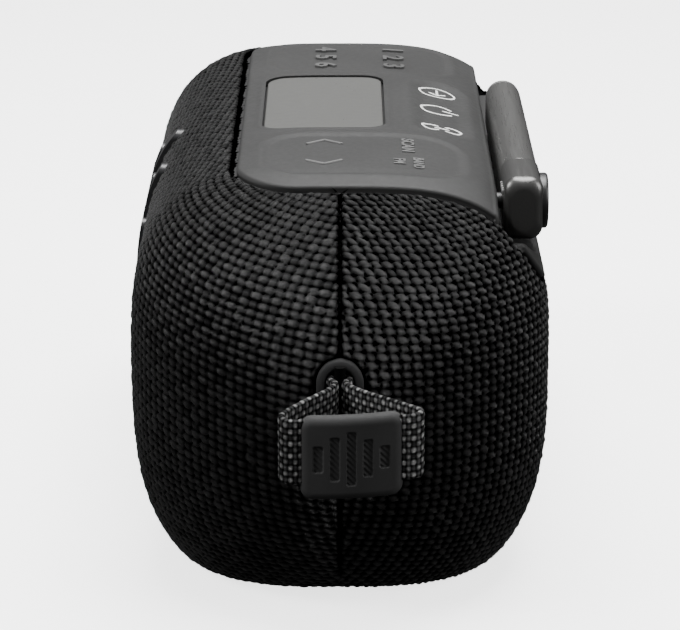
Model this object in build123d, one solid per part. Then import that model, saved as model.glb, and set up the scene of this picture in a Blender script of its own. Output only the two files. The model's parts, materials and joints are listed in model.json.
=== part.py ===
from build123d import *
import math
import os

# Portable wireless speaker with a radio, in millimetres.
# X runs along its length, +Y is the back, +Z is up, and the origin is the middle of the base.

# Driving dimensions of the outer body
STRAIGHT_HALF = 50.5        # half length of the stretch with one constant section
DOME_DEPTH = 37.9           # how far each rounded end reaches past that stretch
DOME_POWER = 1.8            # 2 would be an ellipse in plan, less is more pointed
HALF_DEPTH = 39.5           # half of the front-to-back size
SECTION_CENTRE_Z = 38.4     # height of the widest line
UPPER_RISE = 39.6           # from the widest line to the top
LOWER_DROP = 45.6           # from the widest line to the lowest point before the base is cut flat
UPPER_POWER = 3.3           # squareness of the upper half of the section
LOWER_POWER = 2.9           # squareness of the lower half
FLOOR_Z = 0.5               # underside of the fabric

# Layers, measured inwards from the outer surface
COVER_THICKNESS = 1.2       # fabric, and the rubber skin of the control panel
HOUSING_DEPTH = 3.6         # inner face of the plastic housing and the panel carrier
SEAM_GAP = 0.15             # half of the gap between the two fabric covers
GASKET_HALF = 0.4           # half thickness of the gasket between the two housings

# Control panel
PANEL_HALF_LENGTH = 60.0
PANEL_FRONT_Y = -19.5
PANEL_REAR_Z = 56.0
PANEL_CORNER = 12.0
PANEL_EDGE_GAP = 0.3
WINDOW_HALF_LENGTH = 22.0
WINDOW_FRONT_Y = -15.0
WINDOW_REAR_Y = 8.6
WINDOW_CORNER = 4.0
WINDOW_SINK = 0.2

# Keys: a long and a wide size, and the clearance round each one
KEY_GAP = 0.12
KEY_CORNER = 1.6
KEY_TRAVEL = 0.5
FLANGE_MARGIN = 0.4
FLANGE_THICKNESS = 0.6
PLUNGER_RADIUS = 1.5
SWITCH_TOP_Z = 69.5
BOARD_TOP_Z = 66.0
BOARD_THICKNESS = 1.6
PRESET_X = (-47.5, -40.0, -32.5)
UPPER_ROW_Y = 12.0
LOWER_ROW_Y = -2.4
ICON_ROW_Y = 20.0
ICON_SPACING = 15.0
PRESET_SIZE = (6.4, 7.0)
SCAN_KEY = (34.0, 13.0, 11.0, 6.4)      # centre X and Y, then length and width
BAND_KEY = (47.0, 13.0, 9.0, 7.6)
TUNE_X = (32.5, 47.5)
TUNE_SIZE = (8.0, 9.0)
ICON_SIZE = (8.4, 7.6)
SWITCH_HALF = 2.2
SWITCH_CASE_HEIGHT = 2.4
SWITCH_BUTTON_RADIUS = 1.1

# Folding aerial in its channel along the rear shoulder
PIVOT_X = 51.0
PIVOT_Z = 71.2
ARM_INNER_Y = 30.3
ARM_WIDTH = 7.2
ARM_HEIGHT = 12.0
ARM_NEAR_X = 58.0
SLEEVE_NEAR_X = 43.0
SLEEVE_FAR_X = -20.0
TIP_LENGTH = 3.0
CHANNEL_WALL_Y = 29.3
CHANNEL_FLOOR_Z = 65.0
PIVOT_POCKET_RADIUS = 9.6
PIN_RADIUS = 1.5
RUNNING_CLEARANCE = 0.05
PIVOT_BOSS_Y = 24.0         # inner end of the boss that the pin runs in
CLIP_Y = 21.9               # the clip that keeps the pin in
MAST_RADII = (2.55, 2.05, 1.55)
MAST_WALL = 0.45
MAST_END_X = 40.0
KNUCKLE_CORNER = 2.6
SLEEVE_CORNER = 3.4
TIP_MARGIN = 0.3            # the tip is this much slimmer than the sleeve all round
TIP_CORNER = 3.1
COVER_RADIUS = 5.2          # disc over the pivot
COVER_SEAT = 0.4
COVER_PROUD = 1.2
DETENT_COUNT = 5
DETENT_PITCH = 1.4
DETENT_WIDTH = 0.6
CLIP_RADIUS = 2.4
CLIP_THICKNESS = 0.8
BOSS_RADIUS = 4.5

# Driver and passive radiator, both facing the front
DRIVER_X = -37.0
RADIATOR_X = 36.0
SPEAKER_Z = 38.4
MOUNT_PLANE_Y = -30.0       # rear face of the mounting rings
FLANGE_RADIUS = 27.0
OPENING_RADIUS = 22.5
RING_RADIUS = 28.5
SPEAKER_SCREW_CIRCLE = 24.8
FRAME_THICKNESS = 1.5
FRAME_BORE = 20.6
BASKET_DEPTH = 13.5
PLATE_RADIUS = 15.5
MAGNET_RADIUS = 17.0
MAGNET_BORE = 9.5
GAP_RADIUS = 7.6            # inner radius of the top plate, outside the voice coil
POLE_RADIUS = 6.2
COIL_RADIUS = 6.8
CONE_WALL = 0.5
SURROUND_WALL = 0.4
GUARD_DEPTH = -6.0          # in front of the mounting plane
GUARD_HOLE = 1.35

# Strap and its anchor on the right-hand end
ANCHOR_Z = 42.5
ANCHOR_WIDTH = 8.5
ANCHOR_HEIGHT = 17.6
ANCHOR_RIM = 1.6
ANCHOR_BACK_X = 81.0
ANCHOR_FLOOR_X = 83.0
POST_X = 87.0
POST_RADIUS = 1.0
WEBBING_WIDTH = 12.0
WEBBING_THICKNESS = 1.3
TAG_WIDTH = 18.0
TAG_HEIGHT = 15.2
TAG_THICKNESS = 3.2
TAG_CORNER = 1.5
TAG_X = 103.0               # outer face of the tag
TAG_Y = 1.6
TAG_SOCKET_Y = 6.5          # where each end of the webbing stops inside the tag

# Raised level bars on the front
BADGE_HEIGHTS = (10, 16, 21, 14, 18, 9)
BADGE_BASE_Z = 50.0
BADGE_PITCH = 8.0
BADGE_BAR = 3.6
BADGE_PROUD = 0.9

# Base pad and rear socket
PAD_HALF_LENGTH = 46.0
PAD_HALF_WIDTH = 20.0
PAD_CORNER = 9.0
SOCKET_X = 20.0
SOCKET_Z = 36.8
BEZEL_LENGTH = 14.0
BEZEL_HEIGHT = 8.0
BEZEL_CORNER = 3.9
BATTERY_RADIUS = 9.2
BATTERY_X = (-6.0, 62.0)
BATTERY_Y = 17.0
BATTERY_Z = 23.6
MAIN_BOARD_BOTTOM = 33.4

HOUSING_SCREW_SPOTS = ((-68, 16), (68, 16), (-68, 56), (68, 56), (0, 10))
BIG = 300.0                 # larger than the whole object, for cutting blocks


def save(name, shape):
    """Write one node of the assembly."""
    shape.label = name
    export_step(shape, f"parts/{name}.step")


def block(x_low, x_high, y_low, y_high, z_low, z_high):
    """A box between two corners."""
    centre = Pos((x_low + x_high) / 2, (y_low + y_high) / 2, (z_low + z_high) / 2)
    return centre * Box(x_high - x_low, y_high - y_low, z_high - z_low)


def rod(axis, start, end, radius):
    """A solid cylinder along X, Y or Z; start and end are its end centres."""
    turn = {"X": Rot(0, 90, 0), "Y": Rot(-90, 0, 0), "Z": Rot(0, 0, 0)}[axis]
    length = (Vector(*end) - Vector(*start)).length
    middle = (Vector(*start) + Vector(*end)) * 0.5
    return Pos(*middle) * turn * Cylinder(radius, length)


def tube(axis, start, end, outer, inner):
    """A cylinder with a round hole right through it."""
    return rod(axis, start, end, outer) - rod(axis, start, end, inner)


# ---------------------------------------------------------------- outer body

def section_face(x, scale, inset):
    """One cross-section: two half superellipses that share their widest line."""
    steps = 32
    points = []
    for step in range(steps):
        angle = 2 * math.pi * step / steps - math.pi / 2
        across = abs(math.cos(angle))
        along = abs(math.sin(angle))
        upper = math.sin(angle) >= 0
        power = UPPER_POWER if upper else LOWER_POWER
        rise = (UPPER_RISE if upper else LOWER_DROP) - inset
        width = HALF_DEPTH - inset
        reach = ((across / width) ** power + (along / rise) ** power) ** (-1 / power)
        y = scale * reach * math.cos(angle)
        z = SECTION_CENTRE_Z + scale * reach * math.sin(angle)
        points.append(Vector(x, y, z))
    return Face(Wire([Edge.make_spline(points, periodic=True)]))


def dome_form(inset):
    """The right-hand rounded end, as a smooth stack of shrinking sections."""
    dome = DOME_DEPTH - inset
    stations = [(STRAIGHT_HALF - 12, 1.0), (STRAIGHT_HALF - 6, 1.0)]
    for degrees in (0, 12, 26, 41, 56, 69, 80):
        angle = math.radians(degrees)
        reach = dome * math.sin(angle) ** (2 / DOME_POWER)
        stations.append((STRAIGHT_HALF + reach, math.cos(angle) ** (2 / DOME_POWER)))
    return loft([section_face(x, scale, inset) for x, scale in stations])


def body_form(inset):
    """The whole speaker's form, a given distance inside the outer surface, with a flat base."""
    dome = dome_form(inset)
    middle_half = STRAIGHT_HALF - 12
    middle = extrude(section_face(-middle_half, 1.0, inset), 2 * middle_half, dir=(1, 0, 0))
    raw = middle + dome + mirror(dome, Plane.YZ)
    base = FLOOR_Z + inset
    return raw & block(-BIG, BIG, -BIG, BIG, base, BIG)


def roof_z(y, inset):
    """Height of the roof's surface at a given distance from the middle line."""
    width = HALF_DEPTH - inset
    rise = UPPER_RISE - inset
    return SECTION_CENTRE_Z + rise * (1 - (abs(y) / width) ** UPPER_POWER) ** (1 / UPPER_POWER)


def panel_region(growth):
    """Everything inside the control panel's outline, seen from above and from behind."""
    half = PANEL_HALF_LENGTH + growth
    front = PANEL_FRONT_Y - growth
    low = PANEL_REAR_Z - growth
    corner = PANEL_CORNER + growth
    plan = Pos(0, front + BIG / 2, 0) * RectangleRounded(2 * half, BIG, corner)
    from_above = Pos(0, 0, low) * extrude(plan, BIG)
    rear_view = Plane.XZ.offset(-BIG) * Pos(0, low + BIG / 2) * RectangleRounded(2 * half, BIG, corner)
    return from_above & extrude(rear_view, 2 * BIG)


def channel(growth):
    """The aerial's channel along the rear shoulder, with a round pocket at its pivot."""
    half = PANEL_HALF_LENGTH + 20
    wall = CHANNEL_WALL_Y - growth
    groove = block(-half, half, wall, BIG, CHANNEL_FLOOR_Z - growth, BIG)
    pivot = (PIVOT_X, wall, PIVOT_Z)
    pocket = rod("Y", pivot, (PIVOT_X, BIG, PIVOT_Z), PIVOT_POCKET_RADIUS + growth)
    return groove + pocket


def side_by_side(axis_outline, x_low, x_high):
    """Extrude an outline drawn in the YZ plane between two X positions."""
    return extrude(Plane.YZ.offset(x_low) * axis_outline, x_high - x_low)


def anchor_outline(growth):
    """The strap anchor's oblong outline, looking along X."""
    width = ANCHOR_WIDTH + 2 * growth
    height = ANCHOR_HEIGHT + 2 * growth
    return Pos(0, ANCHOR_Z) * RectangleRounded(width, height, width / 2 - 0.05)


def socket_outline(growth):
    """The rear socket's bezel outline, looking along Y."""
    size = RectangleRounded(BEZEL_LENGTH + 2 * growth, BEZEL_HEIGHT + 2 * growth, BEZEL_CORNER + growth)
    return extrude(Plane.XZ.offset(-BIG) * Pos(SOCKET_X, SOCKET_Z) * size, BIG)


# ---------------------------------------------------------------- keys

def key_layout():
    """Name, centre and size of every key."""
    keys = []
    for index, x in enumerate(PRESET_X):
        keys.append((f"key_preset_{index + 1}", x, UPPER_ROW_Y, *PRESET_SIZE))
        keys.append((f"key_preset_{index + 4}", x, LOWER_ROW_Y, *PRESET_SIZE))
    keys.append(("key_scan", *SCAN_KEY))
    keys.append(("key_band", *BAND_KEY))
    keys.append(("key_tune_down", TUNE_X[0], LOWER_ROW_Y, *TUNE_SIZE))
    keys.append(("key_tune_up", TUNE_X[1], LOWER_ROW_Y, *TUNE_SIZE))
    keys.append(("key_source", -ICON_SPACING, ICON_ROW_Y, *ICON_SIZE))
    keys.append(("key_power", 0.0, ICON_ROW_Y, *ICON_SIZE))
    keys.append(("key_pair", ICON_SPACING, ICON_ROW_Y, *ICON_SIZE))
    return keys


def key_prism(x, y, length, width, growth):
    """A key's outline carried right through the panel."""
    shape = RectangleRounded(length + 2 * growth, width + 2 * growth, KEY_CORNER + growth)
    return extrude(Pos(x, y, PANEL_REAR_Z) * shape, 40)


def flange_top_z(y, width):
    """A key's flange sits just under the carrier's inner face, which is lower near the shoulder."""
    return roof_z(abs(y) + width / 2 + FLANGE_MARGIN, HOUSING_DEPTH) - 0.25


def make_key(panel_stack, x, y, length, width):
    """A keycap as thick as the panel, with a retaining flange and a plunger."""
    cap = panel_stack & key_prism(x, y, length, width, 0)
    top = flange_top_z(y, width)
    bottom = SWITCH_TOP_Z + KEY_TRAVEL + 0.1
    plate = RectangleRounded(length + 2 * FLANGE_MARGIN, width + 2 * FLANGE_MARGIN, KEY_CORNER)
    flange = extrude(Pos(x, y, top - FLANGE_THICKNESS) * plate, FLANGE_THICKNESS)
    core = RectangleRounded(length - 1, width - 1, KEY_CORNER - 0.5)
    neck = extrude(Pos(x, y, top - 0.1) * core, roof_z(y, HOUSING_DEPTH) - top + 0.6)
    plunger = rod("Z", (x, y, bottom), (x, y, top - 0.1), PLUNGER_RADIUS)
    return cap + neck + flange + plunger


def make_switches(keys):
    """One small push switch under each key."""
    switches = []
    for _, x, y, _, _ in keys:
        half = SWITCH_HALF
        case_top = BOARD_TOP_Z + SWITCH_CASE_HEIGHT
        case = block(x - half, x + half, y - half, y + half, BOARD_TOP_Z, case_top)
        button = rod("Z", (x, y, case_top), (x, y, SWITCH_TOP_Z), SWITCH_BUTTON_RADIUS)
        switches.append(case + button)
    return Compound(children=switches)


# ---------------------------------------------------------------- driver

def speaker_point(x, depth):
    """A point on a speaker's axis, a given distance behind its mounting plane."""
    return (x, MOUNT_PLANE_Y + depth, SPEAKER_Z)


def cone_wall(x, front_radius, front_depth, rear_radius, rear_depth, wall):
    """A thin conical wall whose wide end faces the front."""
    outline = Polyline(
        (front_radius, front_depth),
        (rear_radius, rear_depth),
        (rear_radius, rear_depth + wall),
        (front_radius, front_depth + wall),
        close=True,
    )
    return on_speaker_axis(x, make_face(outline))


def on_speaker_axis(x, profile):
    """Turn a profile of (radius, depth) about the speaker's own axis."""
    place = Plane(origin=(x, MOUNT_PLANE_Y, SPEAKER_Z), x_dir=(1, 0, 0), z_dir=(0, 0, 1))
    return revolve(place * profile, Axis((x, MOUNT_PLANE_Y, SPEAKER_Z), (0, 1, 0)))


def screw_spots(x, circle, count, first_degrees):
    """Centres of a ring of screws round a speaker's axis."""
    spots = []
    for index in range(count):
        angle = math.radians(first_degrees + 360 * index / count)
        spots.append((x + circle * math.cos(angle), SPEAKER_Z + circle * math.sin(angle)))
    return spots


def speaker_screws(x):
    """Four pan-head screws that hold a frame to its ring from inside."""
    screws = []
    for sx, sz in screw_spots(x, SPEAKER_SCREW_CIRCLE, 4, 45):
        shank = rod("Y", (sx, MOUNT_PLANE_Y - 5, sz), (sx, MOUNT_PLANE_Y + 1.6, sz), 1.0)
        head = rod("Y", (sx, MOUNT_PLANE_Y + 1.6, sz), (sx, MOUNT_PLANE_Y + 3.0, sz), 1.9)
        screws.append(shank + head)
    return Compound(children=screws)


def flange_holes(x, radius):
    """Screw holes through a frame's flange."""
    holes = None
    for sx, sz in screw_spots(x, SPEAKER_SCREW_CIRCLE, 4, 45):
        hole = rod("Y", (sx, MOUNT_PLANE_Y - 6, sz), (sx, MOUNT_PLANE_Y + 1.7, sz), radius)
        holes = hole if holes is None else holes + hole
    return holes


def driver_frame():
    """The basket: a flange, a conical wall with four windows, and a seat for the magnet."""
    x = DRIVER_X
    seat_end = BASKET_DEPTH + FRAME_THICKNESS
    flange = tube("Y", speaker_point(x, 0), speaker_point(x, FRAME_THICKNESS), FLANGE_RADIUS, FRAME_BORE)
    wall = cone_wall(x, 21.8, 1.0, 15.8, BASKET_DEPTH, 1.2)
    seat = tube("Y", speaker_point(x, BASKET_DEPTH), speaker_point(x, seat_end), MAGNET_RADIUS, 9.0)
    windows = None
    for degrees in (0, 90, 180, 270):
        window = Pos(*speaker_point(x, 7.2)) * Rot(0, degrees, 0) * Pos(19, 0, 0) * Box(12, 7.5, 17)
        windows = window if windows is None else windows + window
    return flange + (wall - windows) + seat - flange_holes(x, 1.15)


def driver_motor():
    """Top plate, ring magnet, and back plate with its centre pole."""
    x = DRIVER_X
    top_plate = tube("Y", speaker_point(x, 15.0), speaker_point(x, 18.0), PLATE_RADIUS, GAP_RADIUS)
    magnet = tube("Y", speaker_point(x, 18.0), speaker_point(x, 25.5), MAGNET_RADIUS, MAGNET_BORE)
    back = rod("Y", speaker_point(x, 25.5), speaker_point(x, 28.5), PLATE_RADIUS)
    pole = rod("Y", speaker_point(x, 15.5), speaker_point(x, 25.6), POLE_RADIUS)
    return top_plate, magnet, back + pole


def voice_coil():
    """A thin former with a winding at its lower end, in the magnet's gap."""
    x = DRIVER_X
    former = tube("Y", speaker_point(x, 9.0), speaker_point(x, 20.5), COIL_RADIUS, COIL_RADIUS - 0.2)
    winding = tube("Y", speaker_point(x, 14.5), speaker_point(x, 20.0), COIL_RADIUS + 0.4, COIL_RADIUS)
    return former + winding


def half_roll(x, inner, outer, depth, thickness):
    """A surround: a half-round roll that bulges to the front, with a flat lip each side."""
    middle = (inner + outer) / 2
    radius = (outer - inner) / 2 - 0.9
    roll = Pos(middle, depth) * (Circle(radius) - Circle(radius - thickness))
    roll = roll & Pos(middle, depth - BIG / 2) * Rectangle(BIG, BIG)
    lips = Pos(0, depth + thickness / 2) * (
        Pos((inner + middle - radius) / 2 + thickness / 4, 0)
        * Rectangle(middle - radius - inner + thickness / 2, thickness)
        + Pos((outer + middle + radius) / 2 - thickness / 4, 0)
        * Rectangle(outer - middle - radius + thickness / 2, thickness)
    )
    return on_speaker_axis(x, roll + lips)


def guard(x, depth):
    """A perforated disc in front of a speaker, with rings of round holes."""
    face = Circle(OPENING_RADIUS - 0.1)
    for ring, count in ((5, 8), (10, 16), (15, 24)):
        face -= PolarLocations(ring, count) * Circle(GUARD_HOLE)
    face -= Circle(GUARD_HOLE)
    place = Plane(origin=speaker_point(x, depth), x_dir=(1, 0, 0), z_dir=(0, 1, 0))
    return extrude(place * face, 1.0)


# ---------------------------------------------------------------- aerial

def arm_section(margin, corner):
    """The aerial arm's rounded section, looking along X."""
    centre = Pos(ARM_INNER_Y + ARM_WIDTH / 2, PIVOT_Z)
    return centre * RectangleRounded(ARM_WIDTH - 2 * margin, ARM_HEIGHT - 2 * margin, corner)


def aerial_arm():
    """The knuckle that turns on the pivot, with five small detent ribs on its inner side."""
    knuckle = side_by_side(arm_section(0, KNUCKLE_CORNER), SLEEVE_NEAR_X, ARM_NEAR_X)
    swing = rod("Y", (PIVOT_X, 0, PIVOT_Z), (PIVOT_X, 60, PIVOT_Z), PIVOT_POCKET_RADIUS - 0.9)
    knuckle = knuckle & (swing + block(-BIG, PIVOT_X, 0, 60, 0, BIG))
    outer = ARM_INNER_Y + ARM_WIDTH
    bore = rod("Y", (PIVOT_X, 0, PIVOT_Z), (PIVOT_X, outer - 1.0, PIVOT_Z), PIN_RADIUS)
    seat = rod("Y", (PIVOT_X, outer - COVER_SEAT, PIVOT_Z), (PIVOT_X, outer + 2, PIVOT_Z), COVER_RADIUS)
    ribs = None
    for index in range(DETENT_COUNT):
        x = PIVOT_X - 2.0 + DETENT_PITCH * index
        low = ARM_INNER_Y - 0.4
        rib = block(x, x + DETENT_WIDTH, low, ARM_INNER_Y + 0.3, PIVOT_Z + 2.1, PIVOT_Z + 3.2)
        ribs = rib if ribs is None else ribs + rib
    return knuckle + ribs - bore - seat


def aerial_sleeve():
    """The straight cover of the arm, bored for the mast."""
    sleeve = side_by_side(arm_section(0, SLEEVE_CORNER), SLEEVE_FAR_X, SLEEVE_NEAR_X)
    centre = (ARM_INNER_Y + ARM_WIDTH / 2, PIVOT_Z)
    bore_radius = MAST_RADII[0] + RUNNING_CLEARANCE
    bore = rod("X", (SLEEVE_FAR_X - 1, *centre), (MAST_END_X + 0.6, *centre), bore_radius)
    return sleeve - bore


def pivot_ring(start, end, outer, inner):
    """A ring round the pivot line."""
    return tube("Y", (PIVOT_X, start, PIVOT_Z), (PIVOT_X, end, PIVOT_Z), outer, inner)


def mast_section(index):
    """One sliding tube of the mast; the last and thinnest is a solid rod."""
    centre = (ARM_INNER_Y + ARM_WIDTH / 2, PIVOT_Z)
    radius = MAST_RADII[index]
    start = (SLEEVE_FAR_X, *centre)
    end = (MAST_END_X, *centre)
    if index == len(MAST_RADII) - 1:
        return rod("X", (SLEEVE_FAR_X - 0.1, *centre), end, radius)
    return tube("X", start, end, radius, radius - MAST_WALL)


def mast_tip():
    """The cap on the thinnest rod, which closes the end of the sleeve."""
    near = SLEEVE_FAR_X - 0.1
    cap = side_by_side(arm_section(TIP_MARGIN, TIP_CORNER), near - TIP_LENGTH, near)
    return fillet(cap.faces().sort_by(Axis.X)[0].edges(), 1.0)


# ---------------------------------------------------------------- strap

def strap_side(side):
    """Half of the strap's centre line seen from above, from the post to its end inside the tag."""
    wrap = POST_RADIUS + 0.1 + WEBBING_THICKNESS / 2
    pinch = WEBBING_THICKNESS / 2 + 0.25
    front = TAG_X - TAG_THICKNESS / 2
    tag_edge = side * (TAG_WIDTH / 2 + 0.3) + TAG_Y
    flank = Spline(
        (POST_X, side * wrap),
        (POST_X + 2.4, side * pinch),
        (POST_X + 11.5, side * 11.6 + TAG_Y / 2),
        (front - 1.2, side * 11.4 + TAG_Y),
        (front, tag_edge),
        tangents=((1, 0), (0, -side)),
    )
    return flank + Line((front, tag_edge), (front, side * TAG_SOCKET_Y + TAG_Y))


def strap_webbing():
    """A flat woven loop whose width stands upright, wrapped round the anchor's post."""
    wrap = POST_RADIUS + 0.1 + WEBBING_THICKNESS / 2
    ring = Circle(wrap + WEBBING_THICKNESS / 2) - Circle(wrap - WEBBING_THICKNESS / 2)
    back = Pos(POST_X, 0) * (ring & Pos(-BIG / 2 + 0.2, 0) * Rectangle(BIG, BIG))
    ribbon = back + trace(strap_side(1), WEBBING_THICKNESS) + trace(strap_side(-1), WEBBING_THICKNESS)
    return extrude(Pos(0, 0, ANCHOR_Z - WEBBING_WIDTH / 2) * ribbon, WEBBING_WIDTH)


def strap_tag():
    """A rubber tag, moulded over the two ends of the webbing."""
    face_on = Pos(TAG_Y, ANCHOR_Z) * RectangleRounded(TAG_WIDTH, TAG_HEIGHT, TAG_CORNER)
    tag = side_by_side(face_on, TAG_X - TAG_THICKNESS, TAG_X)
    half_ribbon = WEBBING_THICKNESS / 2
    half_width = WEBBING_WIDTH / 2
    middle = TAG_X - TAG_THICKNESS / 2
    for side in (-1, 1):
        inner = side * TAG_SOCKET_Y + TAG_Y
        outer = side * (TAG_WIDTH / 2 + 5) + TAG_Y
        tag -= block(
            middle - half_ribbon, middle + half_ribbon,
            min(inner, outer), max(inner, outer),
            ANCHOR_Z - half_width, ANCHOR_Z + half_width,
        )
    return tag


def strap_anchor(proud_form):
    """A rubber cup let into the end, with a proud rim and an upright post for the strap."""
    cup = side_by_side(anchor_outline(0), ANCHOR_BACK_X, 95) & proud_form
    mouth = RectangleRounded(ANCHOR_WIDTH - 2 * ANCHOR_RIM, ANCHOR_HEIGHT - 2 * ANCHOR_RIM, 1.2)
    return cup - side_by_side(Pos(0, ANCHOR_Z) * mouth, ANCHOR_FLOOR_X, 95)


def strap_post():
    """The steel post, held at both ends in the anchor's rim."""
    reach = ANCHOR_HEIGHT / 2 - 0.9
    return rod("Z", (POST_X, 0, ANCHOR_Z - reach), (POST_X, 0, ANCHOR_Z + reach), POST_RADIUS)


# ---------------------------------------------------------------- housing details

def housing_boss_posts(front_side):
    """Solid posts for the housing screws, reaching from one wall to the joint."""
    posts = None
    for x, z in HOUSING_SCREW_SPOTS:
        far = -60 if front_side else 60
        near = -GASKET_HALF if front_side else GASKET_HALF
        post = rod("Y", (x, min(near, far), z), (x, max(near, far), z), 3.6)
        posts = post if posts is None else posts + post
    return posts


def housing_screw_holes(front_side):
    """Pilot holes in the front posts, or clearance holes with a deep counterbore in the rear ones."""
    holes = None
    for x, z in HOUSING_SCREW_SPOTS:
        if front_side:
            hole = rod("Y", (x, -14, z), (x, 1, z), 1.25)
        else:
            hole = rod("Y", (x, -1, z), (x, 10, z), 1.7) + rod("Y", (x, 8, z), (x, 60, z), 2.8)
        holes = hole if holes is None else holes + hole
    return holes


def housing_screws():
    """Pan-head screws that pull the rear housing onto the front one."""
    screws = []
    for x, z in HOUSING_SCREW_SPOTS:
        shank = rod("Y", (x, -12, z), (x, 8.1, z), 1.25)
        head = rod("Y", (x, 8, z), (x, 10, z), 2.6)
        screws.append(shank + head)
    return Compound(children=screws)


def mounting_rings():
    """Rings on the inside of the front housing that carry the driver and the radiator."""
    rings = None
    for x in (DRIVER_X, RADIATOR_X):
        ring = rod("Y", (x, -60, SPEAKER_Z), (x, MOUNT_PLANE_Y, SPEAKER_Z), RING_RADIUS)
        rings = ring if rings is None else rings + ring
    return rings


def speaker_openings():
    """Round openings through the front housing, with pilot holes for the frame screws."""
    holes = None
    for x in (DRIVER_X, RADIATOR_X):
        hole = rod("Y", (x, -60, SPEAKER_Z), (x, 0, SPEAKER_Z), OPENING_RADIUS)
        holes = hole if holes is None else holes + hole
        for sx, sz in screw_spots(x, SPEAKER_SCREW_CIRCLE, 4, 45):
            holes += rod("Y", (sx, MOUNT_PLANE_Y - 5, sz), (sx, MOUNT_PLANE_Y + 1, sz), 1.0)
    return holes


def base_pad(growth, low, high):
    """The base pad's outline between two heights."""
    plan = RectangleRounded(
        2 * (PAD_HALF_LENGTH + growth), 2 * (PAD_HALF_WIDTH + growth), PAD_CORNER + growth
    )
    return extrude(Pos(0, 0, low) * plan, high - low)


# ---------------------------------------------------------------- build

os.makedirs("parts", exist_ok=True)

outer_form = body_form(0)
cover_form = body_form(COVER_THICKNESS)
inner_form = body_form(HOUSING_DEPTH)
cover_shell = outer_form - cover_form
wall_shell = cover_form - inner_form
front_side = block(-BIG, BIG, -BIG, 0, -BIG, BIG)
rear_side = block(-BIG, BIG, 0, BIG, -BIG, BIG)

anchor_hole = side_by_side(anchor_outline(0.1), 60, 120)
socket_hole = socket_outline(0)

# Fabric covers
panel_gap = panel_region(PANEL_EDGE_GAP)
fabric = cover_shell - panel_gap - anchor_hole - base_pad(0.2, -5, 5)
fabric -= block(-BIG, BIG, -SEAM_GAP, SEAM_GAP, -BIG, BIG)
front_fabric = fabric & front_side
tip_path = side_by_side(arm_section(-0.1, SLEEVE_CORNER), -PANEL_HALF_LENGTH - 20, -PANEL_HALF_LENGTH)
rear_fabric = (fabric & rear_side) - socket_outline(0.1) - tip_path
save("front_fabric", front_fabric)
save("rear_fabric", rear_fabric)

# Housings and the gasket between them
panel_block = panel_region(0)
wall = wall_shell - panel_block - anchor_hole
joint_slab = block(-BIG, BIG, -GASKET_HALF, GASKET_HALF, -BIG, BIG)
save("housing_gasket", wall & joint_slab)
wall -= joint_slab
front_extra = (mounting_rings() + housing_boss_posts(True)) & (cover_form - panel_block)
front_housing = (wall & front_side) + front_extra - speaker_openings() - housing_screw_holes(True)
save("front_housing", front_housing)
rear_extra = housing_boss_posts(False) & (cover_form - panel_block)
rear_housing = (wall & rear_side) + rear_extra - housing_screw_holes(False) - socket_hole
save("rear_housing", rear_housing)
save("housing_screws", housing_screws())

# Control panel: rubber skin over a plastic carrier, both lining the aerial's channel
groove = channel(0)
groove_skin = channel(COVER_THICKNESS)
groove_carrier = channel(HOUSING_DEPTH)
skin = ((cover_shell + (outer_form & groove_skin)) & panel_block) - groove
carrier = ((wall_shell - groove_skin) + (cover_form & (groove_carrier - groove_skin))) & panel_block
panel_stack = (cover_shell + wall_shell) & block(-58, 58, -18, 26, 60, 90)

window_shape = RectangleRounded(
    2 * WINDOW_HALF_LENGTH, WINDOW_REAR_Y - WINDOW_FRONT_Y, WINDOW_CORNER
)
window_centre = Pos(0, (WINDOW_REAR_Y + WINDOW_FRONT_Y) / 2, PANEL_REAR_Z)
window_prism = extrude(window_centre * window_shape, 40)
window_sunk = Pos(0, 0, -WINDOW_SINK)
display_window = window_sunk * (cover_shell & window_prism)
save("display_window", display_window)
window_gap = extrude(window_centre * offset(window_shape, 0.15), 40)
skin -= window_gap
carrier -= display_window
display_view = extrude(window_centre * Rectangle(36, 17), 40)
carrier -= display_view

keys = key_layout()
for name, x, y, length, width in keys:
    hole = key_prism(x, y, length, width, KEY_GAP)
    skin -= hole
    carrier -= hole
    save(name, make_key(panel_stack, x, y, length, width))
pivot_line = ((PIVOT_X, PIVOT_BOSS_Y - 1, PIVOT_Z), (PIVOT_X, 40, PIVOT_Z))
pin_hole = rod("Y", *pivot_line, PIN_RADIUS + RUNNING_CLEARANCE)
boss_end = (PIVOT_X, CHANNEL_WALL_Y - 2, PIVOT_Z)
pivot_boss = rod("Y", (PIVOT_X, PIVOT_BOSS_Y, PIVOT_Z), boss_end, BOSS_RADIUS)
clip_room = rod("Y", (PIVOT_X, CLIP_Y - 0.8, PIVOT_Z), (PIVOT_X, PIVOT_BOSS_Y, PIVOT_Z), 2.7)
carrier += pivot_boss & cover_form
carrier -= clip_room
save("control_panel_skin", skin - pin_hole)
save("panel_carrier", carrier - pin_hole)
save("key_switches", make_switches(keys))
board_bottom = BOARD_TOP_Z - BOARD_THICKNESS
save("key_board", block(-54, 54, -17, 24.5, board_bottom, BOARD_TOP_Z))
save("display_module", block(-20, 20, -13.5, 7, 70.2, 73.5) + block(-17, 17, -11, 4.5, 73.4, 74.1))

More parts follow.
